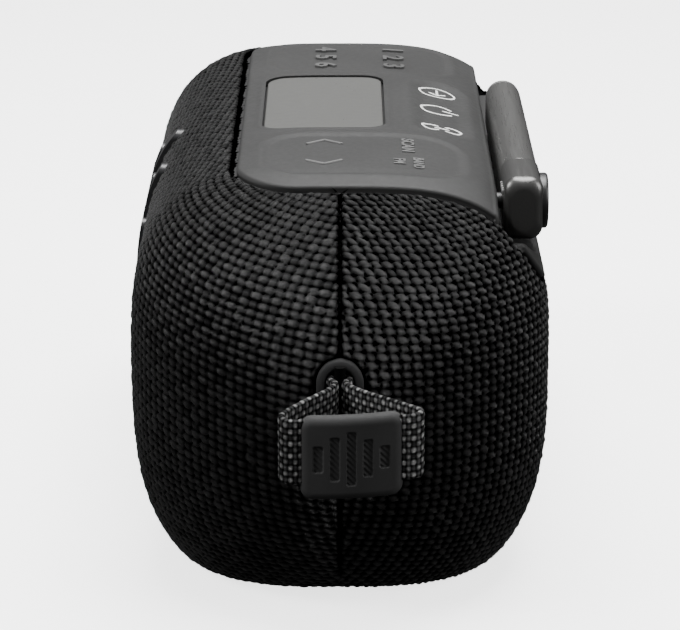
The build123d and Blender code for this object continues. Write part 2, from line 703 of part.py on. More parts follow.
# Driver
top_plate, magnet, back_plate = driver_motor()
save("driver_frame", driver_frame())
save("driver_top_plate", top_plate)
save("driver_magnet", magnet)
save("driver_back_plate", back_plate)
save("voice_coil", voice_coil())
cone = cone_wall(DRIVER_X, 18.0, 0.6, COIL_RADIUS, 9.0, CONE_WALL)
save("driver_cone", cone)
dome_profile = Circle(9.2) - Circle(8.7)
dome_profile = Pos(0, 12.5) * dome_profile & Pos(BIG / 2, -BIG / 2 + 7.6) * Rectangle(BIG, BIG)
save("dust_cap", on_speaker_axis(DRIVER_X, dome_profile))
save("driver_surround", half_roll(DRIVER_X, 18.2, 22.2, -SURROUND_WALL, SURROUND_WALL))
save("driver_spider", tube("Y", speaker_point(DRIVER_X, 12.4), speaker_point(DRIVER_X, 12.9), 15.6, 6.9))

# Passive radiator
ring_faces = (speaker_point(RADIATOR_X, 0), speaker_point(RADIATOR_X, FRAME_THICKNESS))
radiator_ring = tube("Y", *ring_faces, FLANGE_RADIUS, FRAME_BORE)
save("radiator_frame", radiator_ring - flange_holes(RADIATOR_X, 1.15))
plate = rod("Y", speaker_point(RADIATOR_X, 0.1), speaker_point(RADIATOR_X, 1.3), 14.8)
weight = rod("Y", speaker_point(RADIATOR_X, 1.3), speaker_point(RADIATOR_X, 5.0), 9.0)
save("radiator_plate", plate)
save("radiator_weight", weight)
save("radiator_surround", half_roll(RADIATOR_X, 15.0, 22.2, -SURROUND_WALL, SURROUND_WALL))
guards = [guard(x, GUARD_DEPTH) for x in (DRIVER_X, RADIATOR_X)]
save("speaker_guards", Compound(children=guards))
frame_screws = Compound(children=[speaker_screws(DRIVER_X), speaker_screws(RADIATOR_X)])
save("speaker_screws", frame_screws)

# Electronics
save("main_board", block(-12, 60, -14, 29, MAIN_BOARD_BOTTOM, MAIN_BOARD_BOTTOM + BOARD_THICKNESS))
socket_body = block(SOCKET_X - 4.5, SOCKET_X + 4.5, 29.5, 38.0, SOCKET_Z - 1.7, SOCKET_Z + 1.7)
socket_mouth = block(SOCKET_X - 4.1, SOCKET_X + 4.1, 31.0, 39.0, SOCKET_Z - 1.3, SOCKET_Z + 1.3)
socket_tongue = block(SOCKET_X - 3.2, SOCKET_X + 3.2, 30.5, 37.0, SOCKET_Z - 0.35, SOCKET_Z + 0.35)
save("usb_socket", socket_body - socket_mouth + socket_tongue)
bezel = (socket_hole & (outer_form - inner_form)) - block(
    SOCKET_X - 4.6, SOCKET_X + 4.6, 20, 60, SOCKET_Z - 1.8, SOCKET_Z + 1.8
)
save("socket_bezel", bezel)
battery_ends = [(x, BATTERY_Y, BATTERY_Z) for x in BATTERY_X]
save("battery_pack", rod("X", *battery_ends, BATTERY_RADIUS))

# Aerial
save("antenna_arm", aerial_arm())
save("antenna_sleeve", aerial_sleeve())
outer_face = ARM_INNER_Y + ARM_WIDTH
pin_end = outer_face - 1.0
pin_shank = rod("Y", (PIVOT_X, CLIP_Y, PIVOT_Z), (PIVOT_X, pin_end, PIVOT_Z), PIN_RADIUS)
pin_foot = rod("Y", (PIVOT_X, CLIP_Y - 0.6, PIVOT_Z), (PIVOT_X, CLIP_Y, PIVOT_Z), 1.9)
save("antenna_pivot_pin", pin_shank + pin_foot)
disc_faces = (outer_face - COVER_SEAT, outer_face + COVER_PROUD)
disc = rod("Y", *[(PIVOT_X, y, PIVOT_Z) for y in disc_faces], COVER_RADIUS)
save("antenna_pivot_cover", fillet(disc.faces().sort_by(Axis.Y)[-1].edges(), 0.5))
loose = PIN_RADIUS + RUNNING_CLEARANCE
clip_end = CLIP_Y + CLIP_THICKNESS
save("antenna_clip", pivot_ring(CLIP_Y, clip_end, CLIP_RADIUS, PIN_RADIUS))
save("antenna_spring_washer", pivot_ring(clip_end + 0.1, PIVOT_BOSS_Y, CLIP_RADIUS, loose))
for index in range(len(MAST_RADII)):
    save(f"mast_section_{index + 1}", mast_section(index))
save("mast_tip", mast_tip())

# Strap, badge and base pad
save("strap_webbing", strap_webbing())
save("strap_tag", strap_tag())
post = strap_post()
save("strap_post", post)
save("strap_anchor", strap_anchor(body_form(-0.6)) - post)
badge = None
for index, height in enumerate(BADGE_HEIGHTS):
    x = (index - (len(BADGE_HEIGHTS) - 1) / 2) * BADGE_PITCH
    outline = Pos(x, BADGE_BASE_Z + height / 2) * RectangleRounded(BADGE_BAR, height, BADGE_BAR / 2 - 0.05)
    bar = extrude(Plane.XZ.offset(10) * outline, 60)
    badge = bar if badge is None else badge + bar
save("front_badge", badge & (body_form(-BADGE_PROUD) - outer_form))
save("base_pad", base_pad(0, 0, FLOOR_Z + COVER_THICKNESS))
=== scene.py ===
import json
import math

import bmesh
import bpy
import numpy as np
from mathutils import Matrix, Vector


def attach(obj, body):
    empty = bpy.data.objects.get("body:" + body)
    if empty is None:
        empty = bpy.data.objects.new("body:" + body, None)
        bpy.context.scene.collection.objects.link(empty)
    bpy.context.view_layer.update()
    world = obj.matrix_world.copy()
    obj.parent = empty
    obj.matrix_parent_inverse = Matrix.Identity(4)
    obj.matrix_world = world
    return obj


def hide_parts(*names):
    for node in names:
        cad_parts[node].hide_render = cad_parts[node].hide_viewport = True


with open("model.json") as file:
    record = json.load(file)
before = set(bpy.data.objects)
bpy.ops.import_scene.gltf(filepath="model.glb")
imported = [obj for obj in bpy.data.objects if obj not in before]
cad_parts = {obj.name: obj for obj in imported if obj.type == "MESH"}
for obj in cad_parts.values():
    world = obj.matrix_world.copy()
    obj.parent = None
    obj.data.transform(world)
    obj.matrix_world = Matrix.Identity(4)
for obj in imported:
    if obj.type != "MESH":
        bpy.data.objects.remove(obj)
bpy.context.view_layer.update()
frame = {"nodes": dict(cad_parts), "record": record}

# The looks of a portable wireless speaker with a radio. Working sizes are in millimetres.
# X runs along its length, +Y is the back, +Z is up.
MM = 0.001

# Outer body
STRAIGHT = 50.5
DOME = 37.9
DOME_POWER = 1.8
HALF_DEPTH = 39.5
CENTRE_Z = 38.4
RISE = 39.6
DROP = 45.6
UPPER_POWER = 3.3
LOWER_POWER = 2.9
FLOOR_Z = 0.5

# Woven cover
COLUMN_PITCH = 2.1
ROW_PITCH = 1.62
COLUMN_STEPS = 5
ROW_STEPS = 4
ROW_SLANT = {-1: math.tan(math.radians(10)), 1: math.tan(math.radians(4))}
CRIMP = 0.3
YARN_DEPTH = 0.55
YARN_LEAN = {-1: 0.2, 1: 0.42}
WARP_SUNK = {-1: 0.06, 1: 0.05}
YARN_FILL = {-1: (0.9, 1.0), 1: (0.76, 0.97)}
FLATNESS = {-1: 3.0, 1: 2.3}
GATHERED = 0.45             # share of the lost cloth length that is gathered; the rest is cut off at the seam

# Control panel
PANEL_HALF = 60.0
PANEL_FRONT = -19.5
PANEL_LOW = 56.0
PANEL_CORNER = 12.0
CHANNEL_WALL = 29.3
CHANNEL_FLOOR = 65.0
PANEL_STRAIGHT = PANEL_HALF - PANEL_CORNER
PIVOT = (51.0, 71.2)
POCKET_RADIUS = 9.6
SKIN = 1.2
PANEL_STEP = 0.4
SKIRT_TAPER = 0.25
CAP_DEPTH = 0.25            # depth of the walls under a key cap
ROOF_ROWS = 120             # rows of the grid on the roof, so that no key edge falls midway between two

# Aerial
AERIAL_Y = 33.9
AERIAL_HALF = (3.6, 6.0)
KNUCKLE_END = 58.0
SLEEVE_SEAM = 43.0
SLEEVE_END = -20.0

# Strap
ANCHOR_Z = 42.5
POST_X = 87.0
TAG_X = 103.0
TAG_Y = 2.0
TAG_DROOP = 3.5
TAG_TILT = 0.055
RIBBON_LIFT = 0.9           # how much less the ribbon sags than the tag
WEBBING_HALF = 6.0


# ---------------------------------------------------------------- small helpers

def smooth_step(t):
    """Eased step from 0 to 1."""
    t = np.clip(t, 0.0, 1.0)
    return t * t * (3 - 2 * t)


def rounded_box(px, py, half_x, half_y, corner):
    """Signed distance from an upright rounded rectangle."""
    qx = np.abs(px) - half_x + corner
    qy = np.abs(py) - half_y + corner
    outside = np.hypot(np.maximum(qx, 0), np.maximum(qy, 0))
    return outside + np.minimum(np.maximum(qx, qy), 0) - corner


def grid_faces(rows, columns):
    """Quads of a grid whose vertices run row by row."""
    index = np.arange(rows * columns).reshape(rows, columns)
    quads = np.stack([index[:-1, :-1], index[:-1, 1:], index[1:, 1:], index[1:, :-1]], axis=-1)
    return quads.reshape(-1, 4)


def wrapped_faces(rows, columns):
    """Quads of a grid whose last column joins its first."""
    index = np.arange(rows * columns).reshape(rows, columns)
    index = np.concatenate([index, index[:, :1]], axis=1)
    quads = np.stack([index[:-1, :-1], index[:-1, 1:], index[1:, 1:], index[1:, :-1]], axis=-1)
    return quads.reshape(-1, 4)


def make_piece(name, points, faces, body, material, nodes=(), facts=None, smooth=True):
    """One visible piece from points in millimetres; facts are values kept at each point."""
    mesh = bpy.data.meshes.new(name)
    face_list = faces.tolist() if isinstance(faces, np.ndarray) else faces
    mesh.from_pydata((np.asarray(points) * MM).tolist(), [], face_list)
    for fact, values in (facts or {}).items():
        kind = "FLOAT" if values.ndim == 1 else "FLOAT_VECTOR"
        field = "value" if values.ndim == 1 else "vector"
        data = mesh.attributes.new(fact, kind, "POINT").data
        data.foreach_set(field, values.astype(np.float32).ravel())
    shape = bmesh.new()
    shape.from_mesh(mesh)
    bmesh.ops.recalc_face_normals(shape, faces=shape.faces)
    shape.to_mesh(mesh)
    shape.free()
    mesh.polygons.foreach_set("use_smooth", [smooth] * len(mesh.polygons))
    mesh.materials.append(material)
    piece = bpy.data.objects.new(name, mesh)
    bpy.context.scene.collection.objects.link(piece)
    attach(piece, body)
    if nodes:
        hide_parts(*nodes)
    return piece


def keep_faces(points, faces, keep, facts):
    """Drop faces, and the points that nothing uses any more."""
    faces = faces[keep]
    used = np.unique(faces)
    renumber = np.full(len(points), -1)
    renumber[used] = np.arange(len(used))
    return points[used], renumber[faces], {k: v[used] for k, v in facts.items()}


def grid_normals(points):
    """Unit normals of a grid of points with shape (rows, columns, 3)."""
    along_rows = np.gradient(points, axis=0)
    along_columns = np.gradient(points, axis=1)
    normal = np.cross(along_columns, along_rows)
    length = np.linalg.norm(normal, axis=-1, keepdims=True)
    return normal / np.maximum(length, 1e-9)


# ---------------------------------------------------------------- materials

def new_material(name):
    """An empty material, with its node tree and its shader."""
    material = bpy.data.materials.new(name)
    material.use_nodes = True
    tree = material.node_tree
    shader = tree.nodes["Principled BSDF"]
    return material, tree, shader


def object_space(tree):
    """Coordinates that stay with the piece."""
    return tree.nodes.new("ShaderNodeTexCoord").outputs["Object"]


def add_noise(tree, vector, scale, detail=4.0):
    """Value of a noise pattern."""
    noise = tree.nodes.new("ShaderNodeTexNoise")
    noise.inputs["Scale"].default_value = scale
    noise.inputs["Detail"].default_value = detail
    tree.links.new(vector, noise.inputs["Vector"])
    return noise.outputs["Fac"]


def add_ramp(tree, value, stops):
    """Colours, or plain levels, spread over a value from 0 to 1."""
    ramp = tree.nodes.new("ShaderNodeValToRGB")
    while len(ramp.color_ramp.elements) < len(stops):
        ramp.color_ramp.elements.new(0.5)
    for element, (position, shade) in zip(ramp.color_ramp.elements, stops):
        element.position = position
        colour = shade if isinstance(shade, tuple) else (shade, shade, shade)
        element.color = (*colour, 1)
    tree.links.new(value, ramp.inputs["Fac"])
    return ramp.outputs["Color"]


def add_bump(tree, shader, height, distance, strength=1.0):
    """Fine relief in the shading; the distance is in metres."""
    bump = tree.nodes.new("ShaderNodeBump")
    bump.inputs["Distance"].default_value = distance
    bump.inputs["Strength"].default_value = strength
    tree.links.new(height, bump.inputs["Height"])
    tree.links.new(bump.outputs["Normal"], shader.inputs["Normal"])


def plain_material(name, colour, roughness, metallic=0.0, grain=900.0, depth=0.00002, mottle=0.12,
                   sheen=0.5):
    """A moulded or drawn surface: slight mottling, and fine grain in its height and its roughness."""
    material, tree, shader = new_material(name)
    space = object_space(tree)
    fine = add_noise(tree, space, grain)
    broad = add_noise(tree, space, grain / 18, 3.0)
    low = tuple(c * (1 - mottle) for c in colour)
    high = tuple(min(1.0, c * (1 + mottle)) for c in colour)
    tree.links.new(add_ramp(tree, broad, [(0.3, low), (0.7, high)]), shader.inputs["Base Color"])
    rough = add_ramp(tree, fine, [(0.25, max(0.02, roughness - 0.05)), (0.75, min(1.0, roughness + 0.05))])
    tree.links.new(rough, shader.inputs["Roughness"])
    shader.inputs["Metallic"].default_value = metallic
    shader.inputs["Specular IOR Level"].default_value = sheen
    add_bump(tree, shader, fine, depth)
    return material


def drawn_metal(name, colour, roughness, metallic=1.0):
    """Metal with fine lines along X from drawing or polishing."""
    material, tree, shader = new_material(name)
    space = object_space(tree)
    stretch = tree.nodes.new("ShaderNodeMapping")
    stretch.inputs["Scale"].default_value = (0.03, 1.0, 1.0)
    tree.links.new(space, stretch.inputs["Vector"])
    lines = add_noise(tree, stretch.outputs["Vector"], 4000.0)
    shader.inputs["Metallic"].default_value = metallic
    low = tuple(c * 0.88 for c in colour)
    tree.links.new(add_ramp(tree, lines, [(0.3, low), (0.7, colour)]), shader.inputs["Base Color"])
    rough = add_ramp(tree, lines, [(0.2, max(0.03, roughness - 0.06)), (0.8, roughness + 0.06)])
    tree.links.new(rough, shader.inputs["Roughness"])
    add_bump(tree, shader, lines, 0.000008)
    return material


def woven_material(name, gap, dark, light, yarn_scale):
    """Cloth whose colour carries painted shade from the stored weave value, running from the gap colour in
    the hollows to the light colour on the yarn tops, with fibres twisted along each yarn.
    """
    material, tree, shader = new_material(name)
    height = tree.nodes.new("ShaderNodeAttribute")
    height.attribute_name = "weave_height"
    place = tree.nodes.new("ShaderNodeAttribute")
    place.attribute_name = "weave_place"
    fibre = tree.nodes.new("ShaderNodeTexWave")
    fibre.wave_type = "BANDS"
    fibre.bands_direction = "DIAGONAL"
    fibre.inputs["Scale"].default_value = yarn_scale
    fibre.inputs["Distortion"].default_value = 1.6
    fibre.inputs["Detail"].default_value = 2.0
    fibre.inputs["Detail Scale"].default_value = 2.0
    tree.links.new(place.outputs["Vector"], fibre.inputs["Vector"])
    speck = add_noise(tree, place.outputs["Vector"], 2.6, 5.0)
    # Painted shade and painted highlight: the base colour runs from near black in the weave's hollows through
    # the dark colour to the lit colour on the yarn tops.
    base = add_ramp(tree, height.outputs["Fac"], [(0.0, gap), (0.3, gap), (0.62, dark), (0.95, light)])
    tone = add_ramp(tree, speck, [(0.32, 0.4), (0.5, 0.8), (0.7, 1.6)])
    mix = tree.nodes.new("ShaderNodeMix")
    mix.data_type = "RGBA"
    mix.blend_type = "MULTIPLY"
    mix.inputs["Factor"].default_value = 1.0
    tree.links.new(base, mix.inputs["A"])
    tree.links.new(tone, mix.inputs["B"])
    tree.links.new(mix.outputs["Result"], shader.inputs["Base Color"])
    shader.inputs["Roughness"].default_value = 0.42
    tree.links.new(add_ramp(tree, height.outputs["Fac"], [(0.35, 0.0), (0.85, 0.42)]),
                   shader.inputs["Specular IOR Level"])
    add_bump(tree, shader, fibre.outputs["Fac"], 0.0006, 1.0)
    return material


# Painted shade and painted highlight: the three colours of each cloth are those of its hollows, its shaded
# yarn sides and its lit yarn tops.
FABRIC = woven_material("woven_cover", 0.0003, (0.0034, 0.0034, 0.0035), (0.037, 0.037, 0.0366), 4.0)
WEBBING = woven_material("woven_strap", 0.008, (0.11, 0.11, 0.1105), (0.75, 0.75, 0.74), 6.0)
SKIN_RUBBER = plain_material("panel_rubber", (0.023, 0.023, 0.0228), 0.6, depth=0.000010, sheen=0.22)
# Painted highlight: the raised digits and legends are the skin's own rubber, coloured lighter than the skin
# to stand for the light on their strokes.
DIGIT = plain_material("digit_rubber_painted_highlight", (0.062, 0.062, 0.0615), 0.5, depth=0.000006, sheen=0.3)
LEGEND = plain_material("legend_rubber_painted_highlight", (0.075, 0.075, 0.074), 0.5, depth=0.000008)
PANE = plain_material("window_pane", (0.072, 0.072, 0.069), 0.32, grain=500, depth=0.000002, mottle=0.02)
PRINT = plain_material("white_print", (0.6, 0.6, 0.585), 0.55, mottle=0.04)
HOUSING = plain_material("black_plastic", (0.006, 0.006, 0.0062), 0.5)
DARK_RUBBER = plain_material("dark_rubber", (0.011, 0.011, 0.0112), 0.8, sheen=0.2)
# Painted shade: near black for the steel strap post, which sits in the dark mouth of the anchor cup.
POST_PAINTED_SHADE = plain_material("post_steel_painted_shade", (0.0008, 0.0008, 0.0008), 0.8, sheen=0.05)
TAG_RUBBER = plain_material("tag_rubber", (0.034, 0.034, 0.0341), 0.7, grain=1400, sheen=0.12)
BADGE = plain_material("badge_metal", (0.02, 0.02, 0.021), 0.35, grain=1600, depth=0.000005)
PIVOT_DARK = plain_material("pivot_plastic", (0.005, 0.005, 0.0052), 0.4, grain=1500, depth=0.000006)
# Painted shade: the knuckle is the same gunmetal as the sleeve, coloured darker to stand for the dark look of
# its near end.
KNUCKLE = drawn_metal("knuckle_metal_painted_shade", (0.1, 0.099, 0.097), 0.36, 0.9)
SLEEVE = drawn_metal("sleeve_metal", (0.19, 0.188, 0.184), 0.3, 0.9)
TIP = plain_material("tip_metal", (0.2, 0.2, 0.197), 0.38, metallic=0.6, mottle=0.05)
MAST = drawn_metal("mast_steel", (0.62, 0.62, 0.62), 0.14)
STEEL = drawn_metal("plated_steel", (0.55, 0.55, 0.54), 0.28)
BOARD = plain_material("green_board", (0.01, 0.07, 0.03), 0.42)
SWITCH = plain_material("switch_case", (0.03, 0.03, 0.03), 0.4)
MAGNET = plain_material("ferrite", (0.04, 0.04, 0.042), 0.6)
COPPER = drawn_metal("copper_wire", (0.72, 0.34, 0.17), 0.3)
CONE = plain_material("paper_cone", (0.03, 0.03, 0.03), 0.8)
CELL = plain_material("cell_sleeve", (0.02, 0.08, 0.26), 0.35)

SLOT_MATERIALS = {
    "fabric": FABRIC, "housing": HOUSING, "gasket": DARK_RUBBER, "screws": STEEL, "panel": SKIN_RUBBER,
    "keys": SKIN_RUBBER, "window": PANE, "board": BOARD, "switch": SWITCH, "basket": HOUSING,
    "magnet": MAGNET, "plated_steel": STEEL, "copper": COPPER, "cone": CONE, "weight": STEEL,
    "surround": DARK_RUBBER, "spider": CONE, "battery": CELL, "bezel": DARK_RUBBER, "arm": KNUCKLE,
    "sleeve": SLEEVE, "mast": MAST, "tip": TIP, "webbing": WEBBING, "tag": TAG_RUBBER,
    "badge": BADGE, "pad": DARK_RUBBER,
}


# ---------------------------------------------------------------- body surface

def end_scale(x):
    """How large the section is at x, against the straight stretch."""
    reach = np.clip((np.abs(x) - STRAIGHT) / DOME, 0.0, 1.0)
    return (1 - reach ** DOME_POWER) ** (1 / DOME_POWER)


def roof(x, y):
    """Height of the upper surface."""
    left = end_scale(x) ** UPPER_POWER - (np.abs(y) / HALF_DEPTH) ** UPPER_POWER
    return CENTRE_Z + RISE * np.maximum(left, 1e-9) ** (1 / UPPER_POWER)


def rear_y(x, z):
    """Depth of the rear surface at a height above the widest line."""
    left = end_scale(x) ** UPPER_POWER - (np.abs(z - CENTRE_Z) / RISE) ** UPPER_POWER
    return HALF_DEPTH * np.maximum(left, 1e-9) ** (1 / UPPER_POWER)


def end_x(y, z):
    """How far the right-hand end reaches at a depth and a height."""
    power = np.where(z > CENTRE_Z, UPPER_POWER, LOWER_POWER)
    half_height = np.where(z > CENTRE_Z, RISE, DROP)
    scale = ((np.abs(y) / HALF_DEPTH) ** power + (np.abs(z - CENTRE_Z) / half_height) ** power) ** (1 / power)
    return STRAIGHT + DOME * np.maximum(1 - scale ** DOME_POWER, 0) ** (1 / DOME_POWER)


def panel_distance(x, y, z):
    """Distance outside the control panel's outline."""
    big = 100.0
    plan = rounded_box(x, y - PANEL_FRONT - big, PANEL_HALF, big, PANEL_CORNER)
    behind = rounded_box(x, z - PANEL_LOW - big, PANEL_HALF, big, PANEL_CORNER)
    return np.maximum(plan, behind)


def profile_tables(power, half_height):
    """Arc length from the widest line, against the height share, on the front face and on the end."""
    angle = np.linspace(0, math.pi / 2, 900)
    share = np.sin(angle) ** (2 / power)
    depth = HALF_DEPTH * np.cos(angle) ** (2 / power)
    front = np.concatenate([[0], np.cumsum(np.hypot(np.diff(depth), np.diff(share) * half_height))])
    end_share = np.sin(angle) ** (2 / DOME_POWER)
    reach = DOME * np.cos(angle) ** (2 / DOME_POWER)
    end = np.concatenate([[0], np.cumsum(np.hypot(np.diff(reach), np.diff(end_share) * half_height))])
    return front, share, end, end_share


def belt_tables(power, count=240):
    """Plan curves round one end for a range of height shares, evenly spaced by arc from the seam."""
    shares = 1 - (1 - np.linspace(0, 1, count)) ** 2
    shares = np.minimum(shares, 0.9995)
    lengths = np.zeros(count)
    places = np.zeros((count, count, 2))
    walk = np.linspace(0, 1, 1200)
    for row, share in enumerate(shares):
        reach = DOME * (1 - share ** DOME_POWER) ** (1 / DOME_POWER)
        x = reach * (1 - walk ** 2.6)
        scale = (1 - (x / DOME) ** DOME_POWER) ** (1 / DOME_POWER)
        y = HALF_DEPTH * np.maximum(scale ** power - share ** power, 0) ** (1 / power)
        y[0] = 0
        arc = np.concatenate([[0], np.cumsum(np.hypot(np.diff(x), np.diff(y)))])
        lengths[row] = arc[-1]
        even = np.linspace(0, arc[-1], count)
        places[row, :, 0] = np.interp(even, arc, x)
        places[row, :, 1] = np.interp(even, arc, y)
    return lengths, places


def place_on_belts(share, from_seam, full_length, tables):
    """Plan position on the belt of a height share, for a cloth distance from the seam."""
    lengths, places = tables
    count = len(lengths)
    row = np.clip((1 - np.sqrt(np.maximum(1 - share, 0))) * (count - 1), 0, count - 1.001)
    low_row = row.astype(int)
    row_mix = row - low_row
    length = lengths[low_row] * (1 - row_mix) + lengths[low_row + 1] * row_mix
    low = np.zeros_like(from_seam)
    high = length.copy()
    lost = full_length - length
    from_seam = from_seam - (1 - GATHERED) * lost
    cut_off = from_seam < 0
    for _ in range(26):
        middle = (low + high) / 2
        reached = middle + GATHERED * lost * smooth_step(middle / length)
        low = np.where(reached < from_seam, middle, low)
        high = np.where(reached < from_seam, high, middle)
    column = np.clip((low + high) / 2 / length * (count - 1), 0, count - 1.001)
    low_column = column.astype(int)
    column_mix = (column - low_column)[..., None]
    mix = row_mix[..., None]
    near = places[low_row, low_column] * (1 - column_mix) + places[low_row, low_column + 1] * column_mix
    far = places[low_row + 1, low_column] * (1 - column_mix)
    far = far + places[low_row + 1, low_column + 1] * column_mix
    return near * (1 - mix) + far * mix, cut_off


def weave_height(column, row, lean=0.0, column_fill=0.7, row_fill=0.94, sunk=0.05, flatness=2.0):
    """Height of a plain weave: the higher of the two yarn systems at each place."""
    nearest_column = np.round(column)
    nearest_row = np.round(row)
    from_column = column - nearest_column
    from_row = row - nearest_row
    across_column = np.clip(np.abs(from_column + 0.5 * lean * from_row) * 2 / column_fill, 0, 1)
    across_row = np.clip(np.abs(from_row + lean * from_column) * 2 / row_fill, 0, 1)
    weft = CRIMP * np.cos(math.pi * column) * np.cos(math.pi * nearest_row)
    weft = weft + YARN_DEPTH * ((1 - across_row ** flatness) ** (1 / flatness) - 1)
    warp = -CRIMP * np.cos(math.pi * row) * np.cos(math.pi * nearest_column)
    warp = warp + YARN_DEPTH * ((1 - across_column ** flatness) ** (1 / flatness) - 1)
    return np.maximum(weft, warp - sunk) - 0.1


def cell_chance(column, row):
    """A value between 0 and 1 for each crossing of the yarns, the same on every run."""
    mixed = np.sin(np.round(column) * 12.9898 + np.round(row) * 78.233) * 43758.5453
    return mixed - np.floor(mixed)


def woven_cover(name, side, node):
    """One half of the woven cover, front (-1) or rear (+1), from seam to seam."""
    upper = profile_tables(UPPER_POWER, RISE), belt_tables(UPPER_POWER)
    lower = profile_tables(LOWER_POWER, DROP), belt_tables(LOWER_POWER)
    full_length = upper[1][0][0]
    half_cloth = STRAIGHT + full_length
    columns = 2 * round(half_cloth / COLUMN_PITCH)
    column_units = np.linspace(-columns / 2, columns / 2, columns * COLUMN_STEPS + 1)
    along = column_units * (2 * half_cloth / columns)
    slant = ROW_SLANT[side] * half_cloth
    low_row = -math.ceil((62 + slant) / ROW_PITCH)
    high_row = math.ceil((56 + slant) / ROW_PITCH)
    row_units = np.linspace(low_row, high_row, (high_row - low_row) * ROW_STEPS + 1)
    row_grid, along_grid = np.meshgrid(row_units, along, indexing="ij")
    column_grid = np.meshgrid(row_units, column_units, indexing="ij")[1]
    up_raw = row_grid * ROW_PITCH + side * ROW_SLANT[side] * along_grid
    up = np.clip(up_raw, -62, 58)
    bend = smooth_step((np.abs(along_grid) - 30) / 72)
    points = np.zeros((*up.shape, 3))
    past_seam = np.zeros(up.shape, bool)
    for chosen, (profile, belts), half_height, power in (
        (up >= 0, upper, RISE, UPPER_POWER),
        (up < 0, lower, -DROP, LOWER_POWER),
    ):
        front_arc, front_share, end_arc, end_share = profile
        distance = np.abs(up[chosen])
        share = np.interp(distance, front_arc, front_share) * (1 - bend[chosen])
        share = share + np.interp(distance, end_arc, end_share) * bend[chosen]
        share = np.clip(share, 0, 0.9985)
        cloth = np.abs(along_grid[chosen])
        plan, cut_off = place_on_belts(share, np.clip(half_cloth - cloth, 0, full_length), full_length, belts)
        past_seam[chosen] = cut_off
        straight = cloth <= STRAIGHT
        x = np.where(straight, cloth, STRAIGHT + plan[:, 0])
        y = np.where(straight, HALF_DEPTH * (1 - share ** power) ** (1 / power), plan[:, 1])
        z = CENTRE_Z + half_height * share
        points[chosen] = np.stack([x * np.sign(along_grid[chosen] + 1e-12), side * y, z], axis=-1)
    above = points[..., 2] - FLOOR_Z
    points[..., 2] = FLOOR_Z + 0.5 * (above + np.sqrt(above ** 2 + 1.0))
    normal = grid_normals(points)
    outward = points - np.array([0, 0, CENTRE_Z])
    if (normal * outward).sum(-1).mean() < 0:
        normal = -normal
    x, y, z = points[..., 0], points[..., 1], points[..., 2]
    chance = cell_chance(column_grid, row_grid)
    lean = -side * (YARN_LEAN[side] + 0.3 * (chance - 0.5))
    column_fill, row_fill = YARN_FILL[side]
    relief = weave_height(column_grid, row_grid, lean, column_fill, row_fill, WARP_SUNK[side], FLATNESS[side])
    relief = relief + 0.12 * (chance - 0.5) * smooth_step((relief + 0.6) / 0.6)
    wave = 0.05 * np.sin(along_grid * 0.11 + row_grid * 0.23) * np.sin(row_grid * 0.17 + 1.3)
    from_panel = panel_distance(x, y, z)
    from_anchor = np.where(x > 60, rounded_box(y, z - ANCHOR_Z, 4.35, 8.9, 4.3), 50)
    from_socket = np.where(y > 30, rounded_box(x - 20, z - 36.8, 7.1, 4.1, 4.0), 50)
    from_seam = np.abs(y) - 0.15
    tuck = 1.4 * (1 - smooth_step((from_panel - 0.35) / 1.5))
    tuck = np.maximum(tuck, 1.1 * (1 - smooth_step((from_anchor + 0.2) / 0.9)))
    tuck = np.maximum(tuck, 1.1 * (1 - smooth_step((from_socket + 0.2) / 0.9)))
    tuck = np.maximum(tuck, 0.95 * (1 - smooth_step(from_seam / 0.35)) * smooth_step((z - 3) / 9))
    in_tip_path = -rounded_box(y - AERIAL_Y, z - PIVOT[1], 3.8, 6.2, 3.5)
    tuck = np.maximum(tuck, np.where(x < -PANEL_HALF, np.clip(in_tip_path * 1.25 + 0.15, 0, 1.5), 0))
    points = points + normal * (relief + wave - tuck)[..., None]
    # Painted shade: the colour value darkens towards the weave's hollows and wherever the cloth tucks in, at
    # the panel, the anchor cup, the socket, the seam and the aerial's path.
    shade = np.clip(1 + (relief - 0.2) / 0.7, 0, 1) * (1 - 0.85 * np.clip(tuck / 0.6, 0, 1))
    shade = shade * (0.86 + 0.28 * cell_chance(row_grid, column_grid))
    in_pad = rounded_box(x, y, 45, 19, 8.5)
    hidden = (from_panel < -0.6) | (from_anchor < -0.6) | (from_socket < -0.6)
    hidden |= (z < 6) & (in_pad < 0)
    hidden |= (np.abs(up_raw) > 57.9) & (up_raw > 0) | (up_raw < -61.9)
    faces = grid_faces(*up.shape)
    keep = ~hidden.ravel()[faces].any(axis=1) & ~past_seam.ravel()[faces].all(axis=1)
    place = np.stack([column_grid, row_grid, np.zeros_like(row_grid)], axis=-1).reshape(-1, 3)
    # The painted shade goes to the shader as the attribute weave_height.
    facts = {"weave_height": shade.ravel(), "weave_place": place}
    flat, faces, facts = keep_faces(points.reshape(-1, 3), faces, keep, facts)
    if side > 0:
        faces = faces[:, ::-1]
    return make_piece(name, flat, faces, "speaker_body", FABRIC, [node], facts)


# ---------------------------------------------------------------- control panel

# Each key's centre and its size along X and Y
KEYS = {
    "key_scan": (34.0, 13.0, 11.0, 6.4),
    "key_band": (47.0, 13.0, 9.0, 7.6),
    "key_tune_down": (32.5, -2.4, 8.0, 9.0),
    "key_tune_up": (47.5, -2.4, 8.0, 9.0),
    "key_source": (-15.0, 20.0, 8.4, 7.6),
    "key_power": (0.0, 20.0, 8.4, 7.6),
    "key_pair": (15.0, 20.0, 8.4, 7.6),
}
for preset in range(6):
    spot = (-47.5 + 7.5 * (preset % 3), 12.0 if preset < 3 else -2.4)
    KEYS[f"key_preset_{preset + 1}"] = (*spot, 6.4, 7.0)
KEY_CORNER = 1.6
WINDOW_CENTRE = (0.0, -3.2)
WINDOW_HALF = (22.0, 11.8)
WINDOW_CORNER = 4.0
WINDOW_GAP = 0.3


